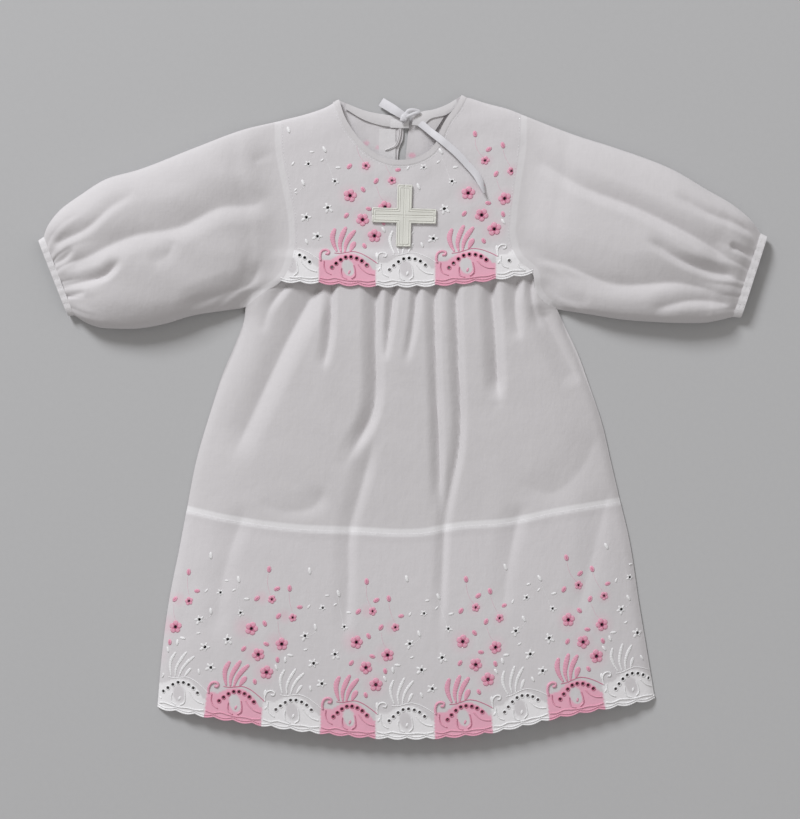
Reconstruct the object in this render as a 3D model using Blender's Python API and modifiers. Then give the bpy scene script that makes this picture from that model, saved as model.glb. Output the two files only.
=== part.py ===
"""Infant's christening gown of white batiste, laid flat on its back with its sleeves spread.

The plan is drawn in millimetres: +X to the right of the gown as it lies, +Y towards the neck, +Z up.
Each cloth piece is a grid placed over its plan, raised to the height of the cloth there, and given a wall.
"""
import math
from collections import namedtuple

import bmesh
import bpy
import numpy as np

# Driving sizes, in millimetres
MM = 0.001
CLOTH = 1.2
THIN_CLOTH = 0.8
LAYER_GAP = 0.3
SEAM_GAP = 0.3
ARMHOLE_GAP = 0.6
BACK_MID = CLOTH / 2
FRONT_MID = BACK_MID + CLOTH + LAYER_GAP
ON_TOP = CLOTH + LAYER_GAP
OVER_GATHERS = ON_TOP + 0.7

SHOULDER_TURN = 20.0
TAIL_CLEARANCE = 0.35
CROSS_CLEARANCE = 0.1

# Shares of a panel's width or length left free at its seams
SIDE_GAP = 0.0022
HEM_SEAM_GAP = 0.0009
BACK_SEAM_GAP = 0.0012
BACK_YOKE_SIDE_GAP = 0.004
BACK_YOKE_LOW_GAP = 0.003
SLEEVE_END_GAP = 0.0035
CUFF_SEAM_GAP = 0.06

SCALLOP_DEPTH = 1.5
HEM_SCALLOPS = 26
YOKE_SCALLOPS = 13
STEPS_PER_SCALLOP = 3
YOKE_COLUMNS = YOKE_SCALLOPS * STEPS_PER_SCALLOP
SHOULDER_COLUMNS = 8

CASING_WIDTH = 4.6
RIBBON_WIDTH = 6.5
RIBBON_WALL = 0.7
CUFF_TOP = 7.4
CUFF_GATHERS = 9

KNOT_CENTRE = (0.2, 211.2)
KNOT_HALF = (4.4, 3.6, 2.0)

FACING_LEFT = -16.8
FACING_LOW = (-5.0, 160.0)
FACING_TOP = (-3.4, 202.6)

CROSS_CENTRE = (1.0, 140.8)
CROSS_SPAN = (45.0, 43.4)
CROSS_BAR = 10.4
CROSS_TILT = math.radians(1.5)

# The side that the folds lean away from, in plan
UPHILL = (-0.5, 0.866)

# Outline of the gown in plan
UNDERARM_LEFT = (-110.4, 77.0)
UNDERARM_RIGHT = (108.4, 75.7)
SHOULDER_LEFT = (-85.6, 208.2)
SHOULDER_RIGHT = (83.2, 212.8)
NECK_LEFT = (-44.8, 223.0)
NECK_RIGHT = (41.4, 226.2)
YOKE_TIP_LEFT = (-85.5, 94.6)
YOKE_TIP_RIGHT = (91.0, 100.2)
SEAM_END_LEFT = (-152.2, -66.5)
SEAM_END_RIGHT = (153.2, -60.5)
HEM_END_LEFT = (-172.6, -204.6)
HEM_END_RIGHT = (177.3, -198.4)
SKIRT_TOP_LEFT = (-79.2, 105.0)
SKIRT_TOP_RIGHT = (80.2, 111.0)
CUFF_SEAM_LEFT = ((-252.0, 126.2), (-230.9, 71.6))
CUFF_SEAM_RIGHT = ((251.4, 128.6), (231.9, 70.3))
CUFF_END_LEFT = ((-255.6, 123.8), (-234.8, 71.1))
CUFF_END_RIGHT = ((255.6, 126.6), (237.4, 69.9))

# Height of the front of the body above its resting height, by rows up the gown.
# crown: at the middle; edge: the share of it that is left at the side
BodyRow = namedtuple("BodyRow", "y crown edge")
BODY_ROWS = (
    BodyRow(-228, 7.5, 0.0),
    BodyRow(-150, 8.5, 0.0),
    BodyRow(-80, 8.0, 0.0),
    BodyRow(0, 9.0, 0.0),
    BodyRow(70, 9.0, 0.0),
    BodyRow(95, 7.5, 0.45),
    BodyRow(120, 6.2, 0.60),
    BodyRow(160, 5.4, 0.65),
    BodyRow(200, 4.2, 0.55),
    BodyRow(230, 3.4, 0.45),
)

# Height of a sleeve along the arm, from the armhole (0) to the cuff (1).
# crown: top of the cloth; side: the fold at its two edges
SleeveRow = namedtuple("SleeveRow", "along crown side")
SLEEVE_ROWS = (
    SleeveRow(0.0, 6.5, 2.6),
    SleeveRow(0.15, 12.0, 4.4),
    SleeveRow(0.4, 19.5, 7.0),
    SleeveRow(0.65, 22.0, 8.0),
    SleeveRow(0.85, 17.0, 6.6),
    SleeveRow(1.0, CUFF_TOP, 4.0),
)

# A fold: the line of its floor in plan, its reach uphill and downhill, and its depth at each end
# as a share of the cloth's height there
Fold = namedtuple("Fold", "line uphill downhill depth_start depth_end")
BODY_FOLDS = (
    Fold(((-61, 90), (-78, 59), (-99, 15), (-121, -32)), 24, 9, 0.70, 0.50),
    Fold(((-50, 92), (-51, 57), (-56, 31)), 7, 3.5, 0.60, 0.15),
    Fold(((-19, 92), (-19, 50), (-21, 3), (-40, -32)), 10, 4, 0.65, 0.40),
    Fold(((-19, -20), (-29, -50), (-37, -80)), 9, 4, 0.30, 0.45),
    Fold(((-6, 92), (-9, 64), (-13, 36)), 6, 3.5, 0.65, 0.10),
    Fold(((10, 92), (7, 61), (2, 36)), 4.5, 4, 0.40, 0.10),
    Fold(((22, 92), (23, 47), (25, -9), (26, -73)), 7, 3.5, 0.60, 0.40),
    Fold(((37, 92), (39, 40), (40, -16), (30, -73)), 6, 3.5, 0.55, 0.30),
    Fold(((62, 92), (65, 54), (67, 12)), 6, 3.5, 0.65, 0.40),
    Fold(((80, 94), (78, 78)), 9, 3.5, 0.70, 0.40),
    Fold(((73, 55), (84, 50)), 4, 3, 0.20, 0.30),
    Fold(((90, 96), (89, 78)), 4, 3, 0.50, 0.20),
    Fold(((67, -5), (76, -23), (76, -39)), 9, 4, 0.10, 0.35),
    Fold(((138, -6), (128, -32), (103, -53), (79, -44)), 18, 12, 0.30, 0.15),
    Fold(((-99, -62), (-79, -66), (-59, -60)), 8, 3, 0.15, 0.35),
    Fold(((107, 73), (119, 50), (130, 26)), 10, 4, 0.60, 0.30),
    Fold(((-82, 92), (-94, 75), (-99, 57)), 8, 5, 0.40, 0.10),
    Fold(((-37, -80), (-38, -114), (-41, -163)), 14, 8, 0.40, 0.10),
    Fold(((30, -73), (28, -107), (26, -163)), 9, 5, 0.35, 0.10),
    Fold(((77, -71), (72, -107), (69, -142)), 10, 6, 0.30, 0.05),
    Fold(((140, -67), (131, -100), (121, -142)), 14, 8, 0.25, 0.10),
    Fold(((-114, -74), (-127, -111), (-132, -156)), 14, 9, 0.25, 0.10),
)
LEFT_SLEEVE_FOLDS = (
    Fold(((-240, 122), (-219, 132), (-204, 145), (-184, 158)), 5, 3.5, 0.45, 0.10),
    Fold(((-227, 108), (-187, 126), (-156, 132), (-127, 146), (-101, 150), (-88, 164)), 16, 7, 0.35, 0.30),
    Fold(((-247, 106), (-236, 111), (-229, 118)), 5, 3, 0.40, 0.15),
    Fold(((-241, 92), (-223, 94), (-206, 99), (-195, 111)), 8, 4, 0.45, 0.25),
    Fold(((-237, 84), (-220, 87)), 5, 3, 0.40, 0.10),
    Fold(((-155, 74), (-124, 87), (-106, 94), (-99, 110)), 13, 6, 0.20, 0.40),
    Fold(((-176, 106), (-163, 113), (-158, 124)), 6, 5, 0.10, 0.15),
    Fold(((-106, 178), (-87, 186)), 6, 4, 0.10, 0.30),
)
RIGHT_SLEEVE_FOLDS = (
    Fold(((102, 176), (124, 161), (161, 146), (201, 126), (242, 102)), 11, 6, 0.30, 0.40),
    Fold(((186, 157), (210, 143), (233, 134), (250, 125)), 7, 3.5, 0.10, 0.45),
    Fold(((167, 125), (197, 107), (237, 97)), 7, 5, 0.15, 0.45),
    Fold(((83, 114), (111, 107), (146, 93), (194, 93), (233, 84)), 15, 8, 0.30, 0.40),
    Fold(((170, 73), (201, 81), (221, 80), (235, 76)), 12, 6, 0.20, 0.45),
    Fold(((100, 94), (111, 84), (132, 79)), 12, 6, 0.35, 0.15),
    Fold(((231, 118), (249, 111)), 4, 3, 0.30, 0.40),
)


def smoothstep(x):
    x = np.clip(x, 0.0, 1.0)
    return x * x * (3 - 2 * x)


class Path:
    """A smooth curve through a few points, read by a share of its length from 0 to 1."""

    def __init__(self, *points):
        self.points = np.array(points, dtype=float)
        steps = np.linalg.norm(np.diff(self.points, axis=0), axis=1)
        self.knots = np.concatenate(([0.0], np.cumsum(steps) / steps.sum()))
        slopes = np.diff(self.points, axis=0) / np.diff(self.knots)[:, None]
        tangents = np.empty_like(self.points)
        tangents[0] = slopes[0]
        tangents[-1] = slopes[-1]
        before = np.diff(self.knots)[:-1, None]
        after = np.diff(self.knots)[1:, None]
        tangents[1:-1] = (slopes[1:] * before + slopes[:-1] * after) / (before + after)
        self.tangents = tangents

    def __call__(self, share):
        share = np.clip(np.atleast_1d(np.asarray(share, dtype=float)), 0.0, 1.0)
        span = np.clip(np.searchsorted(self.knots, share, side="right") - 1, 0, len(self.knots) - 2)
        width = (self.knots[span + 1] - self.knots[span])[:, None]
        t = (share[:, None] - self.knots[span][:, None]) / width
        start = self.points[span]
        end = self.points[span + 1]
        leave = self.tangents[span] * width
        arrive = self.tangents[span + 1] * width
        return ((2 * t**3 - 3 * t**2 + 1) * start + (t**3 - 2 * t**2 + t) * leave
                + (3 * t**2 - 2 * t**3) * end + (t**3 - t**2) * arrive)

    def share_of(self, point):
        """Where the curve passes one of its own points."""
        return self.knots[np.argmin(np.linalg.norm(self.points - point, axis=1))]

    def normal(self, share):
        """Unit vector to the left of the way the path runs, in plan."""
        step = 0.002
        along = self(np.asarray(share) + step) - self(np.asarray(share) - step)
        across = np.stack((-along[:, 1], along[:, 0]), axis=1)
        return across / np.linalg.norm(across, axis=1)[:, None]


def beside(path, distance):
    """A path's points moved sideways, to the left of the way it runs."""
    return lambda share: path(share) + path.normal(np.atleast_1d(share)) * distance


def cut_beside(path, distance):
    """A seam moved sideways by its gap, but for its two ends, which stay where they are."""

    def read(share):
        share = np.atleast_1d(np.asarray(share, dtype=float))
        from_end = np.clip(np.minimum(share, 1 - share), 0, None)
        return path(share) + path.normal(share) * (distance * smoothstep(from_end / 0.04))[:, None]

    return read


def chain(*links):
    """Curves joined with corners; a link is a curve and the share of the chain where it ends."""
    ends = [0.0] + [end for _, end in links]

    def read(share):
        share = np.atleast_1d(np.asarray(share, dtype=float))
        out = np.empty((len(share), 2))
        for (curve, end), start in zip(links, ends):
            inside = (share >= start) & (share <= end)
            out[inside] = curve((share[inside] - start) / (end - start))
        return out

    return read


def reverse(curve):
    return lambda share: curve(1 - np.asarray(share))


def part_of(curve, start, end):
    return lambda share: curve(start + (end - start) * np.asarray(share))


def patch(bottom, top, left, right):
    """Plan of a panel from its four edges: bottom and top run to the right, left and right run up."""

    def plan(u, v):
        corners = [curve([end])[0] for curve in (bottom, top) for end in (0.0, 1.0)]
        across = u[:, None]
        up = v[:, None]
        edges = (1 - up) * bottom(u) + up * top(u) + (1 - across) * left(v) + across * right(v)
        lower = (1 - across) * corners[0] + across * corners[1]
        upper = (1 - across) * corners[2] + across * corners[3]
        return edges - (1 - up) * lower - up * upper

    return plan


# Seams and edges in plan
side_left = Path(UNDERARM_LEFT, (-111.2, 70), (-117.5, 52), (-126, 32), (-136, 1), (-145, -30), SEAM_END_LEFT)
side_right = Path(UNDERARM_RIGHT, (114.5, 63), (123, 45), (131, 23), (140, -4), (147, -34), SEAM_END_RIGHT)
hem_side_left = Path(SEAM_END_LEFT, (-157, -92), (-164, -127), (-170.2, -175), HEM_END_LEFT)
hem_side_right = Path(SEAM_END_RIGHT, (158, -80), (166.7, -134), (174, -178), HEM_END_RIGHT)
hem_seam = Path(SEAM_END_LEFT, (-121.7, -72.9), (-77.6, -79), (-34, -81), (12, -82.2), (40, -77.6),
                (73, -74.9), (106, -68), SEAM_END_RIGHT)
hem_line = Path(HEM_END_LEFT, (-120, -212.5), (-60, -220.8), (0, -225.1), (60, -221), (110, -210),
                HEM_END_RIGHT)
yoke_line = Path(YOKE_TIP_LEFT, (-60, 93.4), (-20, 91.2), (20, 91.6), (60, 95.4), YOKE_TIP_RIGHT)
armhole_left = Path(UNDERARM_LEFT, (-97.6, 87), YOKE_TIP_LEFT, SKIRT_TOP_LEFT, (-75.8, 120), (-76, 138),
                    (-80.5, 164), (-85, 188), SHOULDER_LEFT)
armhole_right = Path(UNDERARM_RIGHT, (98.5, 81), (92.8, 89.5), YOKE_TIP_RIGHT, SKIRT_TOP_RIGHT, (75.2, 126),
                     (75.8, 140), (79, 166), (82.4, 190), SHOULDER_RIGHT)
back_armhole_left = Path(UNDERARM_LEFT, (-89, 100), (-78, 132), (-81, 172), SHOULDER_LEFT)
back_armhole_right = Path(UNDERARM_RIGHT, (88, 102), (77, 134), (80, 174), SHOULDER_RIGHT)
shoulder_left = Path(SHOULDER_LEFT, (-65, 213.6), (-53, 218), NECK_LEFT)
shoulder_right = Path(NECK_RIGHT, (56.8, 220.9), (74.8, 216), SHOULDER_RIGHT)
neck_front = Path(NECK_LEFT, (-40, 209.3), (-32.5, 197.7), (-22.5, 187.2), (-11.2, 181.4), (0, 180.2),
                  (10.3, 182.2), (18.8, 187.2), (23.8, 193.5), (26.4, 201.2), (31, 209.8), (37, 217.8), NECK_RIGHT)
neck_back_left = Path(NECK_LEFT, (-35, 218.5), (-26.5, 215.5), (-9.7, 212.3), (3.8, 210.6))
neck_back_right = Path((6.6, 212.6), (12, 214.4), (21, 215.9), (31.6, 220.1), NECK_RIGHT)
slit_left = Path((-0.5, 98), (-1.2, 120), (-2.2, 150), (-2.6, 180), (1.2, 203), (3.8, 210.6))
slit_right = Path((0.5, 98), (0.4, 120), (0.8, 150), (1.9, 180), (4.3, 203), (6.6, 212.6))
sleeve_top_left = Path(SHOULDER_LEFT, (-109, 202.4), (-146, 188.4), (-185, 173), (-209, 165.8), (-224, 156.5),
                       (-243, 142), (-250, 132), CUFF_SEAM_LEFT[0])
sleeve_low_left = Path(UNDERARM_LEFT, (-129, 74.2), (-147, 71.2), (-168, 65), (-186, 62), (-202, 62),
                       (-213, 63), (-221, 65.8), CUFF_SEAM_LEFT[1])
sleeve_top_right = Path(SHOULDER_RIGHT, (92.5, 208.9), (119.5, 198), (150, 188), (191, 172), (212, 159.5),
                        (232, 148), (246, 136), CUFF_SEAM_RIGHT[0])
sleeve_low_right = Path(UNDERARM_RIGHT, (131.7, 72), (151.3, 68.7), (176.5, 66.6), (195, 65.9), (214, 66.4),
                        CUFF_SEAM_RIGHT[1])
BACK_YOKE_SHARE = 0.2

# The armhole seam as each side's cloth is cut to it; both armholes are drawn upwards
body_armhole_left = cut_beside(armhole_left, -ARMHOLE_GAP / 2)
body_armhole_right = cut_beside(armhole_right, ARMHOLE_GAP / 2)
arm_armhole_left = cut_beside(armhole_left, ARMHOLE_GAP / 2)
arm_armhole_right = cut_beside(armhole_right, -ARMHOLE_GAP / 2)


def straight(start, end):
    return Path(start, end)


def scalloped(line, count):
    """An edge whose small scallops hang below a line that runs to the right."""

    def edge(share):
        share = np.atleast_1d(share)
        points = line(share)
        points[:, 1] -= SCALLOP_DEPTH * (np.abs(np.sin(math.pi * count * share)) - 0.5)
        return points

    return edge


def read_rows(rows, column, at):
    """A column of a table, read smoothly at places along its first column."""
    places = np.array([row[0] for row in rows], dtype=float)
    values = np.array([getattr(row, column) for row in rows], dtype=float)
    curve = Path(*zip(places, values))
    fine = curve(np.linspace(0, 1, 400))
    return np.interp(at, fine[:, 0], fine[:, 1])


def line_x(curves, y):
    """Where a side made of curves stands at each height of the plan."""
    points = np.concatenate([curve(np.linspace(0, 1, 80)) for curve in curves])
    points = points[np.argsort(points[:, 1])]
    return np.interp(y, points[:, 1], points[:, 0])


def fold_depth(plan, folds):
    """Share of its height that the cloth loses to the folds at each point of the plan."""
    kept = np.ones(len(plan))
    for fold in folds:
        line = Path(*fold.line)(np.linspace(0, 1, 8 * len(fold.line)))
        best = np.full(len(plan), 1e9)
        share = np.zeros(len(plan))
        lean = np.zeros(len(plan))
        for index, (start, end) in enumerate(zip(line, line[1:])):
            along = end - start
            across = np.array((-along[1], along[0])) / np.linalg.norm(along)
            if np.dot(across, UPHILL) < 0:
                across = -across
            t = np.clip((plan - start) @ along / (along @ along), 0, 1)
            offset = plan - start - t[:, None] * along
            distance = np.linalg.norm(offset, axis=1)
            nearer = distance < best
            best[nearer] = distance[nearer]
            share[nearer] = (index + t[nearer]) / (len(line) - 1)
            lean[nearer] = (offset @ across)[nearer] / np.maximum(distance[nearer], 1e-9)
        reach = fold.downhill + (fold.uphill - fold.downhill) * smoothstep((lean + 1) / 2)
        bump = np.clip(1 - (best / reach)**2, 0, 1)**2
        kept *= 1 - bump * (fold.depth_start + (fold.depth_end - fold.depth_start) * share)
    return 1 - kept


def body_lift(plan):
    """Height of the smooth front of the body over its resting height, before its folds."""
    x, y = plan[:, 0], plan[:, 1]
    left = line_x((hem_side_left, side_left, armhole_left), y)
    right = line_x((hem_side_right, side_right, armhole_right), y)
    u = np.clip((x - left) / (right - left), 0, 1)
    edge = read_rows(BODY_ROWS, "edge", y)
    rounding = np.sqrt(1 - np.abs(2 * u - 1)**8)
    lift = read_rows(BODY_ROWS, "crown", y) * (edge + (1 - edge) * rounding)
    shoulders = np.concatenate((shoulder_left(np.linspace(0, 1, 20)), shoulder_right(np.linspace(0, 1, 20))))
    below = np.clip((np.interp(x, shoulders[:, 0], shoulders[:, 1]) - y) / SHOULDER_TURN, 0, 1)
    return lift * np.sqrt(1 - (1 - below)**2)


def skirt_height(plan):
    return FRONT_MID + body_lift(plan) * (1 - fold_depth(plan, BODY_FOLDS))


def yoke_height(plan):
    """The yoke lies over the top of the skirt with its scalloped border."""
    over_skirt = smoothstep((119 - plan[:, 1]) / 8)
    return FRONT_MID + body_lift(plan) + OVER_GATHERS * over_skirt


def armhole_height(plan):
    """Height of the front along its armhole: the yoke's, down to the skirt's at the underarm."""
    on_yoke = smoothstep((plan[:, 1] - 88) / 10)
    return skirt_height(plan) * (1 - on_yoke) + yoke_height(plan) * on_yoke


def lying(plan):
    return np.full(len(plan), BACK_MID)


def spread(columns, rows):
    """Even stops for a panel's grid."""
    return np.linspace(0, 1, columns + 1), np.linspace(0, 1, rows + 1)


def with_dense_ends(stops, *extra):
    """Stops with a few more beside each end, where the cloth turns down to its seam."""
    extra = np.array(extra)
    inner = stops[(stops > extra.max() * 1.4) & (stops < 1 - extra.max() * 1.4)]
    return np.concatenate(([0.0], extra, inner, 1 - extra[::-1], [1.0]))


# Making pieces
def new_object(name, mesh, material):
    piece = bpy.data.objects.new(name, mesh)
    piece.data.materials.append(material)
    gown.objects.link(piece)
    return piece


def grid_piece(name, stops, place, wall, material, closed=False, keep=None):
    """A grid whose corners are placed in millimetres by a function of the two stops, given a wall."""
    across, up = stops
    mesh = bpy.data.meshes.new(name)
    bm = bmesh.new()
    bmesh.ops.create_grid(bm, x_segments=len(across) - 1, y_segments=len(up) - 1, size=0.5)
    bm.verts.ensure_lookup_table()
    column = np.array([round((vert.co.x + 0.5) * (len(across) - 1)) for vert in bm.verts])
    row = np.array([round((vert.co.y + 0.5) * (len(up) - 1)) for vert in bm.verts])
    places = place(across[column], up[row])
    for vert, point in zip(bm.verts, places):
        vert.co = point * MM
    if keep is not None:
        dropped = [face for face in bm.faces if not keep(face.calc_center_median() / MM)]
        bmesh.ops.delete(bm, geom=dropped, context="FACES")
    if closed:
        bmesh.ops.remove_doubles(bm, verts=bm.verts, dist=0.01 * MM)
    bm.to_mesh(mesh)
    bm.free()
    mesh.shade_smooth()
    piece = new_object(name, mesh, material)
    solidify = piece.modifiers.new("Cloth wall", "SOLIDIFY")
    solidify.thickness = wall * MM
    solidify.offset = 0
    return piece


def raised(plan, height):
    """A place function: the plan with the height of the cloth at each of its points."""

    def place(u, v):
        points = plan(u, v)
        return np.column_stack((points, height(points)))

    return place


def inset(plan, left=0.0, right=0.0, bottom=0.0, top=0.0):
    """A plan drawn in by shares of its width and length, to leave its seams their gaps."""
    return lambda u, v: plan(left + u * (1 - left - right), bottom + v * (1 - bottom - top))


# Materials
def finish(name, colour, roughness):
    material = bpy.data.materials.new(name)
    material.use_nodes = True
    shader = material.node_tree.nodes["Principled BSDF"]
    shader.inputs["Base Color"].default_value = (*colour, 1)
    shader.inputs["Roughness"].default_value = roughness
    shader.inputs["Metallic"].default_value = 0
    return material


# Body
def make_skirts():
    """Gathered front skirt and plain back skirt, from the yoke to the hem seam."""
    rows = 16
    arm_share = 4 / rows
    tops = Path(SKIRT_TOP_LEFT, (-40, 106.5), (0, 106), (40, 107.5), SKIRT_TOP_RIGHT)
    left = chain((reverse(side_left), 1 - arm_share),
                 (part_of(body_armhole_left, 0, armhole_left.share_of(SKIRT_TOP_LEFT)), 1))
    right = chain((reverse(side_right), 1 - arm_share),
                  (part_of(body_armhole_right, 0, armhole_right.share_of(SKIRT_TOP_RIGHT)), 1))
    plan = inset(patch(hem_seam, tops, left, right), SIDE_GAP, SIDE_GAP, bottom=HEM_SEAM_GAP)
    across, up = spread(46, rows)
    grid_piece("front_skirt", (with_dense_ends(across, 0.008), up), raised(plan, skirt_height), CLOTH, batiste)

    back_rows = 8
    back_arm = 2 / back_rows
    left = chain((reverse(side_left), 1 - back_arm), (part_of(back_armhole_left, 0, BACK_YOKE_SHARE), 1))
    right = chain((reverse(side_right), 1 - back_arm), (part_of(back_armhole_right, 0, BACK_YOKE_SHARE), 1))
    tops = straight(back_armhole_left(BACK_YOKE_SHARE)[0], back_armhole_right(BACK_YOKE_SHARE)[0])
    plan = inset(patch(hem_seam, tops, left, right), SIDE_GAP, SIDE_GAP, HEM_SEAM_GAP, BACK_SEAM_GAP)
    grid_piece("back_skirt", spread(16, back_rows), raised(plan, lying), CLOTH, batiste)


def make_hem_bands():
    """Embroidered bands with a scalloped edge, front and back."""
    edge = scalloped(hem_line, HEM_SCALLOPS)
    plan = inset(patch(edge, hem_seam, reverse(hem_side_left), reverse(hem_side_right)), top=BACK_SEAM_GAP)
    columns = HEM_SCALLOPS * STEPS_PER_SCALLOP
    across, up = spread(columns, 6)
    grid_piece("front_hem_band", (with_dense_ends(across, 0.006), up), raised(plan, skirt_height), CLOTH,
               embroidered)
    grid_piece("back_hem_band", spread(columns, 1), raised(plan, lying), CLOTH, embroidered)


def make_front_yoke():
    """Embroidered yoke that ends in a scalloped border over the gathers."""
    edge = scalloped(yoke_line, YOKE_SCALLOPS)
    neck_edge = beside(neck_front, -CASING_WIDTH - SEAM_GAP)
    shoulder_end = SHOULDER_COLUMNS / YOKE_COLUMNS
    tops = chain((part_of(shoulder_left, 0, 0.86), shoulder_end), (neck_edge, 1 - shoulder_end),
                 (part_of(shoulder_right, 0.14, 1), 1))
    left = part_of(body_armhole_left, armhole_left.share_of(YOKE_TIP_LEFT), 1)
    right = part_of(body_armhole_right, armhole_right.share_of(YOKE_TIP_RIGHT), 1)
    plan = patch(edge, tops, left, right)
    grid_piece("front_yoke", spread(YOKE_COLUMNS, 8), raised(plan, yoke_height), CLOTH, embroidered)


def make_neck_casing():
    """Turned casing along the front neckline."""
    low = beside(neck_front, -CASING_WIDTH)
    plan = patch(low, neck_front, straight(low(0)[0], NECK_LEFT), straight(low(1)[0], NECK_RIGHT))
    columns = YOKE_COLUMNS - 2 * SHOULDER_COLUMNS
    grid_piece("neck_casing_front", spread(columns, 1), raised(plan, yoke_height), CLOTH, batiste)


def make_back_yoke():
    """Two halves of the back, parted by the neck slit, with the casing on each and one facing."""
    left = part_of(back_armhole_left, BACK_YOKE_SHARE, 1)
    right = part_of(back_armhole_right, BACK_YOKE_SHARE, 1)
    shoulder_end = 0.5
    tops = chain((shoulder_left, shoulder_end), (neck_back_left, 1))
    low = straight(back_armhole_left(BACK_YOKE_SHARE)[0], slit_left(0)[0])
    plan = inset(patch(low, tops, left, slit_left), left=BACK_YOKE_SIDE_GAP, bottom=BACK_YOKE_LOW_GAP)
    grid_piece("back_yoke_left", spread(10, 8), raised(plan, lying), CLOTH, embroidered)
    tops = chain((neck_back_right, shoulder_end), (shoulder_right, 1))
    low = straight(slit_right(0)[0], back_armhole_right(BACK_YOKE_SHARE)[0])
    plan = inset(patch(low, tops, slit_right, right), right=BACK_YOKE_SIDE_GAP, bottom=BACK_YOKE_LOW_GAP)
    grid_piece("back_yoke_right", spread(10, 8), raised(plan, lying), CLOTH, embroidered)

    band_low = Path((-41, 217.0), (-26.5, 208.6), (-14, 204.8), (5.4, 203.4))
    band_top = Path((-39.5, 220.4), (-26.5, 215.4), (-9.7, 212.2), (5.0, 210.4))
    plan = patch(band_low, band_top, straight(band_low(0)[0], band_top(0)[0]),
                 straight(band_low(1)[0], band_top(1)[0]))
    on_back = BACK_MID + ON_TOP
    grid_piece("neck_casing_back_left", spread(12, 2), raised(plan, lambda p: np.full(len(p), on_back)), CLOTH,
               batiste)

    band_low = Path((8.6, 205.4), (21, 208.8), (30.5, 214.0), (37.6, 221.0))
    band_top = Path((8.6, 212.8), (21, 215.8), (30.5, 219.4), (35.8, 222.6))
    plan = patch(band_low, band_top, straight(band_low(0)[0], band_top(0)[0]),
                 straight(band_low(1)[0], band_top(1)[0]))
    over_ribbon = BACK_MID + ON_TOP + RIBBON_WALL + LAYER_GAP
    grid_piece("neck_casing_back_right", spread(12, 2), raised(plan, lambda p: np.full(len(p), over_ribbon)),
               CLOTH, batiste)

    edge_low = straight((FACING_LEFT, FACING_LOW[1]), FACING_LOW)
    edge_top = straight((FACING_LEFT, FACING_TOP[1]), FACING_TOP)
    plan = patch(edge_low, edge_top, straight(edge_low(0)[0], edge_top(0)[0]),
                 straight(edge_low(1)[0], edge_top(1)[0]))
    on_back = CLOTH + LAYER_GAP + THIN_CLOTH / 2
    grid_piece("slit_facing", spread(3, 6), raised(plan, lambda p: np.full(len(p), on_back)), THIN_CLOTH, batiste)


# Sleeves
TOP_STOPS = np.concatenate(([0.0, 0.02, 0.055], np.linspace(0.09, 0.91, 24), [0.945, 0.98, 1.0]))
LOW_STOPS = np.array([0.978, 0.94, 0.86, 0.70, 0.50, 0.30, 0.14, 0.06, 0.022])
EDGE_TURN = 0.07


def make_sleeve(name, armhole, back_armhole, upper, lower, cuff_seam, folds, rows=14):
    """A full sleeve as a flattened tube: w runs from its upper edge to its lower one, s along the arm."""
    around = np.concatenate((TOP_STOPS, LOW_STOPS, [0.0]))
    on_top = np.arange(len(around)) < len(TOP_STOPS)
    cuff_line = straight(*cuff_seam)
    top_plan = patch(upper, lower, reverse(armhole), cuff_line)
    low_plan = patch(upper, lower, reverse(back_armhole), cuff_line)

    def place(u, v):
        index = np.rint(u * (len(around) - 1)).astype(int)
        w = around[index]
        s = SLEEVE_END_GAP + v * (1 - 2 * SLEEVE_END_GAP)
        top_points = top_plan(s, w)
        low_points = low_plan(s, w)
        crown = read_rows(SLEEVE_ROWS, "crown", s)
        side = read_rows(SLEEVE_ROWS, "side", s)
        near_armhole = 1 - smoothstep(s / 0.2)
        near_cuff = smoothstep((s - 0.75) / 0.25)
        fullness = 2.6 + 5 * np.maximum(near_armhole, near_cuff)
        dome = np.clip(1 - np.abs(2 * w - 1)**fullness, 0, 1)**0.6
        fold = fold_depth(top_points, folds)
        gathers = 0.7 * smoothstep((s - 0.82) / 0.16) * np.cos(2 * math.pi * CUFF_GATHERS * w) * dome
        full = side + (crown - side) * dome * (1 - fold) + gathers
        seam = armhole_height(top_points)
        at_armhole = 1 - smoothstep(s / 0.16)
        top = full * (1 - at_armhole) + seam * at_armhole
        side = side * (1 - at_armhole) + (BACK_MID + (seam - BACK_MID) / 2) * at_armhole
        turn = np.clip(np.minimum(w, 1 - w) / EDGE_TURN, 0, 1)
        low = side - (side - BACK_MID) * np.sqrt(1 - (1 - turn)**2)
        upper_side = on_top[index]
        edge = np.minimum(w, 1 - w) < 1e-9
        z = np.where(upper_side, top, low)
        z = np.where(edge, side, z)
        points = np.where(upper_side[:, None], top_points, low_points)
        return np.column_stack((points, z))

    stops = (np.linspace(0, 1, len(around)), np.linspace(0, 1, rows + 1))
    return grid_piece(name, stops, place, CLOTH, batiste, closed=True)


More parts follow.
